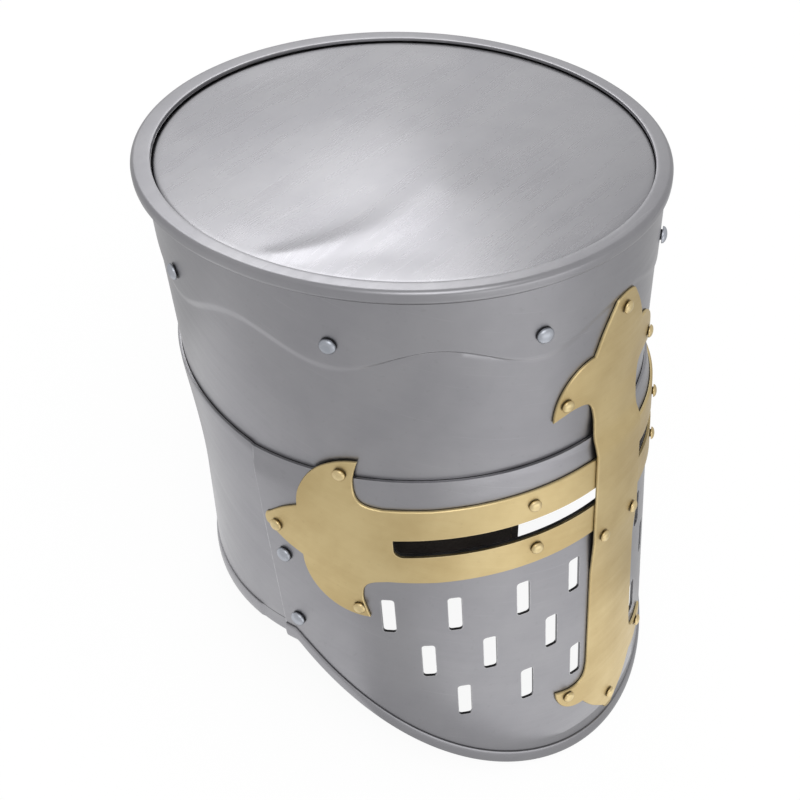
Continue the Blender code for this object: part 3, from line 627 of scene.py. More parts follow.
def makeTopPlate():
    angles = np.linspace(0.0, 2.0 * math.pi, bandSize["columns"], endpoint=False)[:, None]
    plate, top = sheets["plate"], -sheets["plate"] - sheets["gap"]
    bend = topSize["bend"] * plate
    turns = quarterTurns(8)
    low = skirtBottom(angles)

    def disc(out, z):
        ring = wallPoint(angles, z, out)
        grids = []
        for share in np.linspace(topSize["hub"], 1.0, topSize["rings"]):
            spot = ring * np.array((share, share, 1.0))
            swell, fold = topUneven(spot[..., 0], spot[..., 1])
            spot[..., 2] += swell * smooth((1.0 - share) / topSize["waveEase"])
            spot[..., 2] += fold * smooth((1.0 - share) / topSize["foldEase"])
            grids.append(spot)
        return grids

    outer = disc(skirtOut - bend, top)
    for turn in turns[1:]:
        z = top - bend * (1.0 - math.cos(turn))
        outer.append(wallPoint(angles, z, skirtOut - bend + bend * math.sin(turn)))
    outer.append(wallPoint(angles, low, skirtOut))
    inner = [wallPoint(angles, low, skirtIn)]
    for turn in turns[:0:-1]:
        z = top - plate - bend * (1.0 - math.cos(turn))
        inner.append(wallPoint(angles, z, skirtIn - bend + bend * math.sin(turn)))
    inner += disc(skirtIn - bend, top - plate)[::-1]
    rings = np.concatenate(outer + inner, axis=1)
    columns, size = rings.shape[:2]
    faces = gridFaces(columns, size, True, False)
    for edge in (0, size - 1):
        faces.append(tuple(i * size + edge for i in range(columns)))
    piece = newPiece("topPlate", toWorld(rings).reshape(-1, 3), faces, topSteel)
    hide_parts("top_plate")
    return piece


# lower plates

plateEdge = ((0.0, -0.4), (0.1, -0.14), (0.38, 0.0))  # down from the upper edge, extra distance out
hemSize = {"height": 8.0, "bulge": 1.1, "round": 0.6, "groove": 0.25, "ease": 0.25, "clear": 0.8, "lip": 0.3}
faceSize = {
    "chinDrop": 307.0, "endTop": math.radians(92.5), "endHem": math.radians(86.3), "columns": 181,
}
backSize = {
    "start": math.radians(78.0), "columns": 201, "tuck": 12.5, "tuckTurn": math.radians(1.5),
    "hemClear": math.radians(3.0),
}


def plateRows(high, low, count):
    # heights and extra distances out of each column, from the upper edge down to the rolled hem
    hem = hemSize
    plain = low + hem["height"] + hem["clear"]
    rows = [(high - down, out) for down, out in plateEdge]
    for share in np.linspace(0.0, 1.0, count)[1:]:
        rows.append((mix(rows[2][0], plain, share), 0.0))
    rows.append((low + hem["height"] + hem["ease"], -0.4 * hem["groove"]))
    rows.append((low + hem["height"], -hem["groove"]))
    for turn in np.linspace(0.0, math.pi, 13)[1:-1]:
        rise = 0.5 * hem["height"] * (1.0 + math.cos(turn))
        rows.append((low + rise, hem["bulge"] * math.sin(turn) ** hem["round"]))
    rows.append((low, -hem["lip"]))
    z = np.stack([row[0] + 0.0 * low for row in rows], axis=-1)
    out = np.array([row[1] for row in rows])[None, :]
    return z, out


def faceAngle(span, z):
    share = np.clip((-z - wall["seamDrop"]) / (wall["hemDrop"] - wall["seamDrop"]), 0.0, 1.0)
    return span * mix(faceSize["endTop"], faceSize["endHem"], share)


def makeFacePlate(cutters):
    spans = np.linspace(-1.0, 1.0, faceSize["columns"])
    middle = faceAngle(spans, -0.5 * (wall["seamDrop"] + wall["hemDrop"]))
    high = edgeHeight(middle)
    aside = np.minimum(np.abs(middle) / faceSize["endHem"], 1.0)
    low = mix(-faceSize["chinDrop"], -wall["hemDrop"], aside ** 2)
    z, out = plateRows(high, low, 46)
    angle = faceAngle(spans[:, None], z)
    lift = faceLift(angle, z)
    outer = wallPoint(angle, z, plateOut + lift + out)
    inner = wallPoint(angle, z, plateIn + lift)
    piece = sheetPiece("facePlate", outer, inner, False, steel)
    for cutter in cutters:
        cutPiece(piece, cutter)
    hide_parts("face_plate")
    return piece


def makeBackPlate():
    angle = np.linspace(backSize["start"], 2.0 * math.pi - backSize["start"], backSize["columns"])
    covered = smooth((faceSize["endTop"] - turnFromFront(angle)) / backSize["tuckTurn"])
    high = edgeHeight(angle) - backSize["tuck"] * covered
    low = -wall["hemDrop"] + 0.0 * angle
    z, out = plateRows(high, low, 24)
    # the hem lies flat where the face plate covers it
    clear = turnFromFront(angle) > faceSize["endTop"] + backSize["hemClear"]
    out = np.where(out > 0.0, out * clear[:, None], out)
    outer = wallPoint(angle[:, None], z, plateOut + out)
    inner = wallPoint(angle[:, None], z, plateIn)
    piece = sheetPiece("backPlate", outer, inner, False, steel)
    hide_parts("back_plate")
    return piece


# sights and breaths

sightSize = {"start": 12.0, "end": 113.2, "height": 10.2, "corner": 4.6, "smallCorner": 0.3}
breathSize = {
    "height": 20.8, "width": 6.4, "corner": 1.6, "pitch": 30.0, "topRow": 187.0, "rowStep": 30.0,
    "rows": ((0.92, 1.84, 2.92, 3.95), (1.35, 2.4, 3.37), (0.86, 1.79, 2.84)),  # pitches from the middle
}


def sightOutline(side):
    half, end = 0.5 * sightSize["height"], sightSize["end"]
    corner, small = sightSize["corner"], sightSize["smallCorner"]
    outline = [(sightSize["start"], -half), (end - small, -half), (end, small - half)]
    for turn in quarterTurns(8):
        outline.append((end - corner * (1.0 - math.cos(turn)), half - corner * (1.0 - math.sin(turn))))
    outline.append((sightSize["start"], half))
    return [(side * s, wall["browLine"] + h) for s, h in outline]


def breathOutline(length, down):
    corner = breathSize["corner"]
    across, tall = 0.5 * breathSize["width"] - corner, 0.5 * breathSize["height"] - corner
    outline = []
    for quarter, (x, y) in enumerate(((1, 1), (-1, 1), (-1, -1), (1, -1))):
        for turn in quarterTurns(5) + quarter * math.pi / 2.0:
            aside, below = x * across + corner * math.cos(turn), y * tall + corner * math.sin(turn)
            outline.append((length + aside, down + below))
    return outline


def breathOutlines():
    outlines = []
    for row, places in enumerate(breathSize["rows"]):
        down = breathSize["topRow"] + row * breathSize["rowStep"]
        for place in places:
            length = place * breathSize["pitch"]
            outlines += [breathOutline(length, down), breathOutline(-length, down)]
    return outlines


def openingCutters():
    # the cutters reach past the plate on both sides, and a breath is too narrow to need columns
    beyond, wideColumn = 5.0, 500.0

    def inner(angle, z):
        return plateIn - beyond

    def outer(angle, z):
        return armOut + lapStep + beyond + 1.0

    sights = wrapPiece("sightCutter", [sightOutline(1.0), sightOutline(-1.0)], inner, outer, steel)
    breaths = wrapPiece("breathCutter", breathOutlines(), inner, outer, steel, column=wideColumn)
    return sights, breaths


# brass cross

armFleur = {"length": 50.5, "half": 45.1, "notch": 19.4, "notchHalf": 14.5, "tipHalf": 4.0, "neck": 21.4}
crownFleur = {"length": 49.4, "half": 39.8, "notch": 23.9, "notchHalf": 18.8, "tipHalf": 8.0, "neck": 16.8}
footFleur = {"length": 41.2, "half": 38.6, "notch": 23.0, "notchHalf": 21.4, "tipHalf": 4.2, "neck": 19.0}
crossSize = {
    "armTip": 177.2, "riseStart": 95.0, "rise": 0.045, "hornFall": 1.5, "crownTip": 41.4, "footTip": 305.0,
    "restDrop": 80.0, "fillet": 7.0, "bevel": ((0.2, 0.82), (0.28, 1.0)), "hornEase": 8.0,
    "armStep": (28.0, 8.0), "edgeStep": 0.6, "armRows": (-10.0, 24.0, 3.0), "barRows": (84.0, 212.0, 4.0),
    # each point of the hollow behind a horn, as a share of the way to the neck and a depth in fillets
    "hollow": ((0.22, 0.2), (0.46, 0.36), (0.7, 0.3), (0.86, 0.02), (0.95, -0.5)),
}


def smoothLine(points, steps):
    # a line of many points that runs smoothly through the given ones
    given = np.array(points)
    ends = np.concatenate([[2.0 * given[0] - given[1]], given, [2.0 * given[-1] - given[-2]]])
    line = []
    for k in range(len(given) - 1):
        a, b, c, d = ends[k:k + 4]
        for t in np.linspace(0.0, 1.0, steps, endpoint=False):
            curve = 2.0 * b + (c - a) * t + (2.0 * a - 5.0 * b + 4.0 * c - d) * t ** 2
            line.append(0.5 * (curve + (3.0 * b - a - 3.0 * c + d) * t ** 3))
    line.append(given[-1])
    return [tuple(spot) for spot in line]


def fleurSide(size):
    # (distance from the tip, half width) from the tip to the neck
    notch, notchHalf, tip = size["notch"], size["notchHalf"], size["tipHalf"]
    length, half, neck, fillet = size["length"], size["half"], size["neck"], crossSize["fillet"]
    lobe = [(0.04 * notch, -0.7 * tip), (0.0, 0.0), (0.04 * notch, 0.7 * tip), (0.14 * notch, tip)]
    lobe += [(0.55 * notch, mix(tip, notchHalf, 0.56)), (notch, notchHalf)]
    points = smoothLine(lobe, 5)[5:]
    for turn in quarterTurns(17)[1:]:
        points.append((mix(length, notch, math.cos(turn)), mix(notchHalf, half, math.sin(turn))))
    hollow = [(length, half)]
    for share, depth in crossSize["hollow"]:
        hollow.append((length - depth * fillet, mix(half, neck, share)))
    hollow.append((length + 1.4 * fillet, neck))
    return points + smoothLine(hollow, 4)[1:]


def armDrop(length, across):
    return wall["browLine"] + across - crossSize["rise"] * max(abs(length) - crossSize["riseStart"], 0.0)


def armOutline(side):
    tip, ends, neck = crossSize["armTip"], fleurSide(armFleur), armFleur["neck"]
    inner, bend = 0.25 * crownFleur["neck"], crossSize["riseStart"]
    outline = [(tip - along, -across) for along, across in ends]
    outline += [(bend, -neck), (inner, -neck), (inner, neck), (bend, neck)]
    outline += [(tip - along, across) for along, across in ends[:0:-1]]
    return [(side * length, armDrop(length, across)) for length, across in outline]


def barOutline():
    left = [(-across, crossSize["crownTip"] + along) for along, across in fleurSide(crownFleur)]
    left += [(-across, crossSize["footTip"] - along) for along, across in fleurSide(footFleur)[::-1]]
    return left + [(-s, h) for s, h in left[-2:0:-1]]


def armLift(angle, z):
    # inner face of an arm: on the face plate, its upper horn falling towards the band above the edge
    over = (z - edgeHeight(angle)) / sheets["plate"] - 1.0
    above = np.clip(over / crossSize["hornEase"], 0.0, 1.0)
    return armIn + faceLift(angle, z) - crossSize["hornFall"] * above


def barLift(angle, z):
    # inner face of the upright: on the band, over the plate's edge, over the arms, then on the plate
    edge = float(edgeHeight(0.0))
    armBottom = float(facePlace(0.0, wall["browLine"] + armFleur["neck"])[1])
    heights = [armBottom - below for below in crossSize["armStep"]]
    heights += [edge - crossSize["edgeStep"] * wall["edgeEase"], edge, -crossSize["restDrop"]]
    lifts = [armIn + lapStep, barIn + lapStep, barIn + lapStep, armIn + sheets["gap"], sheets["gap"]]
    return np.interp(z, heights, lifts)


def makeArm(name, node, side, sights):
    rows = wall["seamDrop"] + np.arange(*crossSize["armRows"])
    piece = wrapPiece(
        name, [armOutline(side)], armLift, lambda angle, z: armLift(angle, z) + sheets["brass"], brass,
        rows=rows, bevel=crossSize["bevel"],
    )
    cutPiece(piece, sights)
    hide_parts(node)
    return piece


def makeBar():
    piece = wrapPiece(
        "crossBar", [barOutline()], barLift, lambda angle, z: barLift(angle, z) + sheets["brass"], brass,
        rows=np.arange(*crossSize["barRows"]), bevel=crossSize["bevel"],
    )
    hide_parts("cross_bar")
    return piece


# rivets, set out by a geometry tree

steelRivet = {"radius": 3.8, "height": 2.0, "lift": 0.95, "tail": 2.9, "tailHeight": 1.4}
brassRivet = {"radius": 3.1, "height": 1.5, "lift": 0.8, "tail": 2.2, "tailHeight": 1.0}
rivetPlaces = {
    "sideInset": math.radians(4.5), "sideRise": 16.0,
    "backTurns": (-28.0, 0.0, 28.0), "backDrop": 1.25, "backRise": 1.6,  # drop and rise in head radii
}


def farSide(layer, angle, z):
    if layer == "face":
        return plateIn + float(faceLift(angle, z))
    return {"band": bandIn, "back": plateIn}[layer]


def brassSeat(lift, angle, z):
    near = [float(lift(angle, z + shift)) for shift in (-brassRivet["radius"], 0.0, brassRivet["radius"])]
    return sheets["brass"] + max(near)


def rivetSpots():
    # node name, angle, height, distance out of the seat and of the far side, kind
    spots = []

    def addBrass(name, length, down, layer, lift):
        angle, z = (float(v) for v in facePlace(length, down))
        spots.append((name, angle, z, brassSeat(lift, angle, z), farSide(layer, angle, z), "brass"))

    for number, angle in enumerate(crownRivetAngles()):
        far = strapIn if number % 4 in (1, 2) else linerIn
        z, seat = -skirtSize["rivetDrop"], skirtSize["print"]
        spots.append((f"crown_rivet_{number + 1}", angle, z, seat, far, "steel"))
    arm, crown, foot = armFleur, crownFleur, footFleur
    tip, middle = crossSize["armTip"], wall["browLine"]
    for side, word in ((-1.0, "right"), (1.0, "left")):
        for down, place in (
            (middle + 1.1 * arm["notchHalf"], "upper"), (wall["hemDrop"] - rivetPlaces["sideRise"], "lower"),
        ):
            angle = float(faceAngle(side, -down)) - side * rivetPlaces["sideInset"]
            seat = plateOut + float(faceLift(angle, -down))
            spots.append((f"side_rivet_{word}_{place}", angle, -down, seat, plateIn, "steel"))
        for place, length, across, layer in (
            ("upper_horn", tip - 0.84 * arm["length"], -0.843 * arm["half"], "band"),
            ("lower_horn", tip - 0.907 * arm["length"], 0.87 * arm["half"], "face"),
            ("tip", tip - 1.7 * arm["tipHalf"], 0.4 * arm["tipHalf"], "back"),
            ("over_sight", 0.443 * sightSize["end"], -0.63 * arm["neck"], "face"),
            ("under_sight", 0.436 * sightSize["end"], 0.575 * arm["neck"], "face"),
        ):
            addBrass(f"arm_rivet_{word}_{place}", side * length, armDrop(length, across), layer, armLift)
        for place, length, down, layer in (
            ("crown_horn", 0.842 * crown["half"], crossSize["crownTip"] + 0.85 * crown["length"], "band"),
            ("crossing", 0.7 * crown["neck"], middle + arm["neck"] + 1.8 * brassRivet["radius"], "face"),
            ("foot_horn", 0.808 * foot["half"], crossSize["footTip"] - 0.85 * foot["length"], "face"),
        ):
            addBrass(f"bar_rivet_{word}_{place}", side * length, down, layer, barLift)
    for place, down, layer in (
        ("crown_tip", crossSize["crownTip"] + 0.314 * crown["notch"], "band"),
        ("foot_tip", crossSize["footTip"] - 0.457 * foot["notch"], "face"),
    ):
        addBrass(f"bar_rivet_{place}", 0.0, down, layer, barLift)
    for number, turn in enumerate(rivetPlaces["backTurns"]):
        angle, head = math.pi + math.radians(turn), steelRivet["radius"]
        under = float(edgeHeight(angle)) - rivetPlaces["backDrop"] * head
        z = min(under, -wall["browDrop"] + rivetPlaces["backRise"] * head)
        spots.append((f"back_rivet_{number + 1}", angle, z, plateOut, bandIn, "steel"))
    return spots


def newTree(name, inputs):
    tree = bpy.data.node_groups.new(name, "GeometryNodeTree")
    tree.interface.new_socket("Geometry", in_out="INPUT", socket_type="NodeSocketGeometry")
    for label, value in inputs:
        socket = tree.interface.new_socket(label, in_out="INPUT", socket_type="NodeSocketFloat")
        socket.default_value = value
    tree.interface.new_socket("Look", in_out="INPUT", socket_type="NodeSocketMaterial")
    tree.interface.new_socket("Geometry", in_out="OUTPUT", socket_type="NodeSocketGeometry")
    return tree, tree.nodes.new("NodeGroupInput"), tree.nodes.new("NodeGroupOutput")


def endTree(tree, given, result, instances):
    # real geometry, shaded smooth, in the material that the tree was given
    real = addNode(tree, "GeometryNodeRealizeInstances", [("Geometry", instances)])
    soft = addNode(tree, "GeometryNodeSetShadeSmooth", [("Geometry", real.outputs["Geometry"])])
    dressed = addNode(tree, "GeometryNodeSetMaterial", [("Geometry", soft.outputs["Geometry"])])
    tree.links.new(given.outputs["Look"], dressed.inputs["Material"])
    tree.links.new(dressed.outputs["Geometry"], result.inputs["Geometry"])


def rivetTree():
    # a dome, cut off a little below its middle, on a short neck
    sizes = (("Head Radius", 0.0038), ("Head Height", 0.002), ("Neck Height", 0.0009), ("Size Jitter", 0.03))
    domeCut, neckShare = -0.2, 0.62
    tree, given, result = newTree("rivetHeads", sizes)
    radius = given.outputs["Head Radius"]
    ball = addNode(tree, "GeometryNodeMeshUVSphere", Segments=32, Rings=24, Radius=1.0)
    position = addNode(tree, "GeometryNodeInputPosition")
    split = addNode(tree, "ShaderNodeSeparateXYZ", [("Vector", position.outputs[0])])
    under = addNode(tree, "FunctionNodeCompare", [(0, split.outputs["Z"])], operation="LESS_THAN")
    under.inputs[1].default_value = domeCut
    dome = addNode(
        tree, "GeometryNodeDeleteGeometry",
        [("Geometry", ball.outputs["Mesh"]), ("Selection", under.outputs["Result"])],
    )
    size = addNode(
        tree, "ShaderNodeCombineXYZ", [("X", radius), ("Y", radius), ("Z", given.outputs["Head Height"])]
    )
    shaped = addNode(
        tree, "GeometryNodeTransform", [("Geometry", dome.outputs["Geometry"]), ("Scale", size.outputs[0])]
    )
    thick = mathNode(tree, "MULTIPLY", radius, neckShare)
    neck = addNode(tree, "GeometryNodeMeshCylinder", [("Radius", thick)], Vertices=24, Depth=1.0)
    tall = mathNode(tree, "MULTIPLY", given.outputs["Neck Height"], 2.0)
    stretch = addNode(tree, "ShaderNodeCombineXYZ", [("Z", tall)], X=1.0, Y=1.0)
    seated = addNode(
        tree, "GeometryNodeTransform", [("Geometry", neck.outputs["Mesh"]), ("Scale", stretch.outputs[0])]
    )
    whole = addNode(
        tree, "GeometryNodeJoinGeometry",
        [("Geometry", shaped.outputs["Geometry"]), ("Geometry", seated.outputs["Geometry"])],
    )
    axis = addNode(tree, "GeometryNodeInputNamedAttribute", data_type="FLOAT_VECTOR", Name="axis")
    aim = addNode(tree, "FunctionNodeAlignRotationToVector", [("Vector", axis.outputs["Attribute"])])
    least = mathNode(tree, "SUBTRACT", 1.0, given.outputs["Size Jitter"])
    jitter = addNode(tree, "FunctionNodeRandomValue", [(2, least)], data_type="FLOAT", Seed=4)
    jitter.inputs[3].default_value = 1.0
    spread = addNode(
        tree, "GeometryNodeInstanceOnPoints",
        [("Points", given.outputs["Geometry"]), ("Instance", whole.outputs["Geometry"]),
         ("Rotation", aim.outputs["Rotation"]), ("Scale", jitter.outputs[1])],
    )
    endTree(tree, given, result, spread.outputs["Instances"])
    return tree


def runTree(piece, tree, values):
    # sets the tree's inputs by their identifiers, and keeps the result as a plain mesh
    modifier = piece.modifiers.new(tree.name, "NODES")
    modifier.node_group = tree
    for item in tree.interface.items_tree:
        if item.in_out == "INPUT" and item.name in values:
            modifier[item.identifier] = values[item.name]
    settle(piece)
    return piece


def pointPiece(name, points, edges=()):
    mesh = bpy.data.meshes.new(name)
    mesh.from_pydata([tuple(p) for p in points], list(edges), [])
    return addObject(name, mesh)


def growOnPoints(name, points, axes, tree, values):
    piece = pointPiece(name, points)
    piece.data.attributes.new("axis", "FLOAT_VECTOR", "POINT").data.foreach_set("vector", np.ravel(axes))
    return runTree(piece, tree, values)


def makeRivets():
    tree = rivetTree()
    pieces = []
    for kind, size, look in (("steel", steelRivet, rivetSteel), ("brass", brassRivet, rivetBrass)):
        spots = [spot for spot in rivetSpots() if spot[5] == kind]
        heads, tails, normals = [], [], []
        for _, angle, z, seat, far, _ in spots:
            normal = wallNormal(angle, z)
            heads.append(toWorld(wallPoint(angle, z, seat) + normal * size["lift"]))
            tails.append(toWorld(wallPoint(angle, z, far)))
            normals.append(turnToWorld(normal))
        normals = np.array(normals)
        for part, places, aim, radius, height in (
            ("Heads", heads, normals, size["radius"], size["height"]),
            ("Tails", tails, -normals, size["tail"], size["tailHeight"]),
        ):
            values = {"Head Radius": radius * 0.001, "Head Height": height * 0.001, "Look": look}
            values["Neck Height"] = size["lift"] * 0.001
            piece = growOnPoints(f"{kind}Rivet{part}", places, aim, tree, values)
            if part == "Heads":
                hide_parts(*[spot[0] for spot in spots])
            pieces.append(piece)
    return pieces


# leather liner and crown straps

linerSize = {
    "top": 26.0, "turn": 47.0, "hang": 14.0, "brow": 60.0, "drop": 172.0, "opening": math.radians(22.5),
    "edge": math.radians(3.0), "slope": math.radians(35.0), "rows": 30, "columns": (40, 10, 230),
    "ripple": 0.5, "ripples": 9.0, "free": 60.0, "round": 0.35,
}
strapSize = {
    "halfAngle": math.radians(5.5), "apex": 7.0, "foot": 39.0, "shoulder": 24.0, "arch": 0.6, "crown": 0.25,
    "legRows": 6, "archRows": 40, "columns": 9,
}
stitchSize = {"pitch": 4.6, "length": 3.0, "thick": 0.7, "inset": 4.0, "turnRadius": 104.0, "points": 900}


def linerBottom(turn):
    # lower edge of the liner: short over the eyes, long over the cheeks and the neck
    size = linerSize
    share = np.clip((turn - size["opening"]) / size["edge"], 0.0, 1.0)
    slope = np.clip((turn - size["opening"]) / size["slope"], 0.0, 1.0)
    return -mix(size["brow"], mix(0.97 * size["drop"], size["drop"], slope), share)


def linerHang(angle, z):
    # how far the leather hangs away from the wall, with slight waves where it is free
    size = linerSize
    away = np.clip((-size["turn"] - z) / (0.5 * size["drop"]), 0.0, 1.0) * (size["hang"] + linerOut)
    free = np.clip((-size["turn"] - z) / size["free"], 0.0, 1.0)
    return away - size["ripple"] * free * np.sin(size["ripples"] * angle)


def makeLiner():
    size = linerSize
    opening, side = size["opening"], size["opening"] + size["edge"]
    front, flank, behind = size["columns"]
    angles = np.concatenate([
        np.linspace(-opening, opening, front),
        np.linspace(opening, side, flank)[1:],
        np.linspace(side, 2.0 * math.pi - side, behind)[1:],
        np.linspace(-side, -opening, flank)[1:-1] + 2.0 * math.pi,
    ])[:, None]
    low = linerBottom(turnFromFront(angles))
    z = mix(-size["top"], low, np.linspace(0.0, 1.0, size["rows"])[None, :])
    hang = linerHang(angles, z)
    outer = wallPoint(angles, z, linerOut - hang)
    inner = wallPoint(angles, z, linerIn - hang)
    outer[:, -1] += size["round"] * (inner[:, -1] - outer[:, -1])
    inner[:, -1] += size["round"] * (outer[:, -1] - inner[:, -1])
    piece = sheetPiece("liner", outer, inner, True, leather)
    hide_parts("liner")
    return piece


def stitchTree():
    sizes = (("Pitch", 0.0046), ("Stitch Length", 0.003), ("Thread", 0.0007))
    tree, given, result = newTree("stitches", sizes)
    link = tree.links.new
    seam = addNode(tree, "GeometryNodeMeshToCurve", [("Mesh", given.outputs["Geometry"])])
    spaced = addNode(tree, "GeometryNodeResampleCurve", [("Curve", seam.outputs["Curve"])], mode="LENGTH")
    link(given.outputs["Pitch"], spaced.inputs["Length"])
    along = tree.nodes.new("GeometryNodeInputTangent")
    aim = tree.nodes.new("FunctionNodeAlignRotationToVector")
    link(along.outputs["Tangent"], aim.inputs["Vector"])
    bead = addNode(tree, "GeometryNodeMeshUVSphere", Segments=8, Rings=6, Radius=0.5)
    size = tree.nodes.new("ShaderNodeCombineXYZ")
    link(given.outputs["Thread"], size.inputs["X"])
    link(given.outputs["Thread"], size.inputs["Y"])
    link(given.outputs["Stitch Length"], size.inputs["Z"])
    spread = tree.nodes.new("GeometryNodeInstanceOnPoints")
    link(spaced.outputs["Curve"], spread.inputs["Points"])
    link(bead.outputs["Mesh"], spread.inputs["Instance"])
    link(aim.outputs["Rotation"], spread.inputs["Rotation"])
    link(size.outputs[0], spread.inputs["Scale"])
    endTree(tree, given, result, spread.outputs["Instances"])
    return tree


def stitchPiece(name, lines, tree):
    points, edges = [], []
    for line in lines:
        first = len(points)
        points += list(toWorld(line))
        edges += [(first + k, first + k + 1) for k in range(len(line) - 1)]
    values = {}
    for label, key in (("Pitch", "pitch"), ("Stitch Length", "length"), ("Thread", "thick")):
        values[label] = 0.001 * stitchSize[key]
    return runTree(pointPiece(name, points, edges), tree, {**values, "Look": thread})


def makeLinerStitches(tree):
    # a seam runs round the lower edge, on both faces of the leather
    reach = stitchSize["inset"] / stitchSize["turnRadius"]
    angles = np.linspace(0.0, 2.0 * math.pi, stitchSize["points"])
    z = linerBottom(turnFromFront(angles) - reach) + stitchSize["inset"]
    hang = linerHang(angles, z)
    lines = [wallPoint(angles, z, away - hang) for away in (linerOut, linerIn)]
    return stitchPiece("linerStitches", lines, tree)


def strapLine(start, finish, out, apex):
    foot, shoulder = -strapSize["foot"], -strapSize["shoulder"]
    levels = np.linspace(foot, shoulder, strapSize["legRows"])
    rise = wallPoint(start, levels, out)
    fall = wallPoint(finish, levels[::-1], out)
    share = np.linspace(0.0, 1.0, strapSize["archRows"] + 2)[1:-1, None]
    over = mix(rise[-1], fall[0], share)
    over[:, 2] = mix(shoulder, apex, np.sin(math.pi * share[:, 0]) ** strapSize["arch"])
    return np.concatenate([rise, over, fall])


def makeStrap(name, node, start, finish, apex):
    upper, lower = [], []
    for side in np.linspace(-1.0, 1.0, strapSize["columns"]):
        turn = side * strapSize["halfAngle"]
        crown = strapSize["crown"] * (1.0 - side * side)
        under = apex - sheets["leather"] - crown
        upper.append(strapLine(start + turn, finish - turn, strapOut, apex))
        lower.append(strapLine(start + turn, finish - turn, strapIn - crown, under))
    piece = sheetPiece(name, np.stack(upper, axis=1), np.stack(lower, axis=1), False, leather)
    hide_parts(node)
    return piece


def makeStraps():
    angles = crownRivetAngles()
    high = -strapSize["apex"]
    low = high - sheets["leather"] - 1.5 * sheets["gap"]
    return [
        makeStrap("crownStrapRight", "crown_strap_right", angles[1], angles[6], high),
        makeStrap("crownStrapLeft", "crown_strap_left", angles[5], angles[2], low),
    ]


# build

sightCutter, breathCutter = openingCutters()
steelPieces = [makeBand(), makeTopPlate(), makeFacePlate((sightCutter, breathCutter)), makeBackPlate()]
print("steel plates made")
brassPieces = [
    makeArm("crossArmRight", "cross_arm_right", -1.0, sightCutter),
    makeArm("crossArmLeft", "cross_arm_left", 1.0, sightCutter),
    makeBar(),
]
drop(sightCutter, breathCutter)
print("brass cross made")
rivetPieces = makeRivets()
liner = makeLiner()
stitches = [makeLinerStitches(stitchTree())]
straps = makeStraps()
print("rivets and leather made")

for pieces, slotName in (
    (steelPieces, "satin_steel"), (brassPieces, "satin_brass"), (rivetPieces[:2], "rivet_steel"),
    (rivetPieces[2:], "rivet_brass"), ([liner, *straps, *stitches], "black_leather"),
):
    for piece in pieces:
        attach(piece, "root")


# floor, light and camera

studio = {
    "floorSize": 4.0, "floorDrop": 0.0004, "floorColour": 0.82, "floorRoughness": 0.9,
    "cameraGlow": 0.93, "glossGlow": 0.66, "helmMiddle": Vector((0.0, 0.0, 0.16)),
}
photoCamera = {
    "azimuth": math.radians(-48.553), "elevation": math.radians(39.273), "roll": math.radians(-3.837),
    "place": (-414.2, -357.2, 302.0), "lens": 63.0, "sensor": 36.0, "clip": 0.01,
}
# place, size and power of each lamp, and what it faces: a card lies on the floor and faces up
lamps = {
    "topPanel": ((0.47, 0.94, 0.76), (0.58, 0.4), 2.8, "helm"),
    "backPanel": ((0.85, 0.95, 0.45), (1.4, 0.4), 0.95, "helm"),
    "frontPanel": ((-0.25, -0.95, 0.3), (1.0, 0.45), 1.7, "helm"),
    "keyLight": ((-0.9, -0.3, 1.5), (0.9, 0.9), 8.0, "helm"),
    "frontCard": ((-0.06, -0.38, 0.015), (0.3, 0.44), 0.27, "up"),
    "sideCard": ((-0.14, 0.04, 0.006), (0.14, 0.26), 0.06, "up"),
}


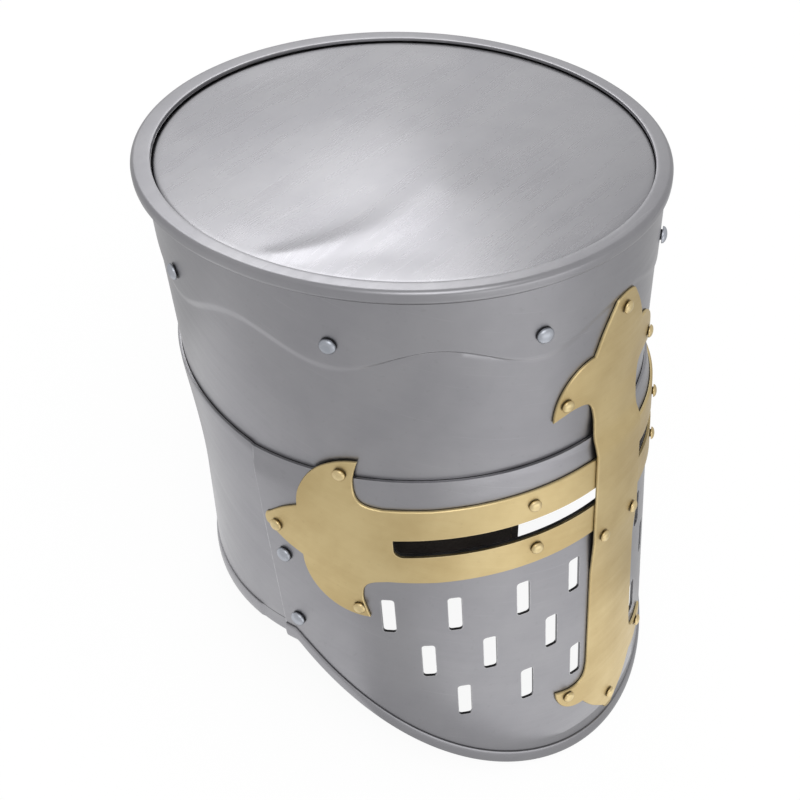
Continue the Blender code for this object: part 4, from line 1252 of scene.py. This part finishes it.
def makeFloor():
    half, level = studio["floorSize"], -studio["floorDrop"]
    mesh = bpy.data.meshes.new("floor")
    corners = [(half * x, half * y, level) for x, y in ((-1, -1), (1, -1), (1, 1), (-1, 1))]
    mesh.from_pydata(corners, [], [(0, 1, 2, 3)])
    floor = addObject("floor", mesh)
    made, tree, shader = newMaterial("paleFloor")
    shader.inputs["Base Color"].default_value = (*[studio["floorColour"]] * 3, 1.0)
    shader.inputs["Roughness"].default_value = studio["floorRoughness"]
    path = tree.nodes.new("ShaderNodeLightPath")
    seen = mathNode(tree, "MAXIMUM", path.outputs["Is Camera Ray"], path.outputs["Is Transmission Ray"])
    seen = mathNode(tree, "MULTIPLY", seen, studio["cameraGlow"])
    mirrored = mathNode(tree, "MULTIPLY", path.outputs["Is Glossy Ray"], studio["glossGlow"])
    glow = tree.nodes.new("ShaderNodeEmission")
    glow.inputs["Color"].default_value = (1.0, 1.0, 1.0, 1.0)
    both = tree.nodes.new("ShaderNodeMixShader")
    tree.links.new(mathNode(tree, "MAXIMUM", seen, mirrored), both.inputs["Fac"])
    tree.links.new(shader.outputs[0], both.inputs[1])
    tree.links.new(glow.outputs[0], both.inputs[2])
    tree.links.new(both.outputs[0], tree.nodes["Material Output"].inputs["Surface"])
    mesh.materials.append(made)


def makeWorld():
    world = bpy.data.worlds.new("studio")
    bpy.context.scene.world = world
    world.use_nodes = True
    background = world.node_tree.nodes["Background"]
    background.inputs["Color"].default_value = (1.0, 1.0, 1.0, 1.0)
    background.inputs["Strength"].default_value = 1.0


def makeLamps():
    for name, (place, size, power, faces) in lamps.items():
        light = bpy.data.lights.new(name, "AREA")
        light.shape = "RECTANGLE"
        light.size, light.size_y = size
        light.energy = power
        lamp = addObject(name, light)
        lamp.visible_camera = False
        lamp.location = place
        aim = Vector((0.0, 0.0, 1.0))
        if faces == "helm":
            aim = studio["helmMiddle"] - Vector(place)
        lamp.rotation_euler = aim.to_track_quat("-Z", "Y").to_euler()


def makeCamera():
    size = photoCamera
    az, el, roll = size["azimuth"], size["elevation"], size["roll"]
    back = np.array((math.sin(az) * math.cos(el), -math.cos(az) * math.cos(el), math.sin(el)))
    right = np.array((math.cos(az), math.sin(az), 0.0))
    up = np.cross(back, right)
    c, s = math.cos(roll), math.sin(roll)
    camera = addObject("camera", bpy.data.cameras.new("camera"))
    turned = turnToWorld(np.array((c * right + s * up, c * up - s * right, back)))
    matrix = Matrix([list(row) for row in turned.T]).to_4x4()
    matrix.translation = Vector(toWorld(np.array(size["place"])))
    camera.matrix_world = matrix
    camera.data.lens = size["lens"]
    camera.data.sensor_width = size["sensor"]
    camera.data.clip_start = size["clip"]
    bpy.context.scene.camera = camera


makeFloor()
makeWorld()
makeLamps()
makeCamera()
bpy.context.scene.view_settings.view_transform = "Standard"

print("scene ready")
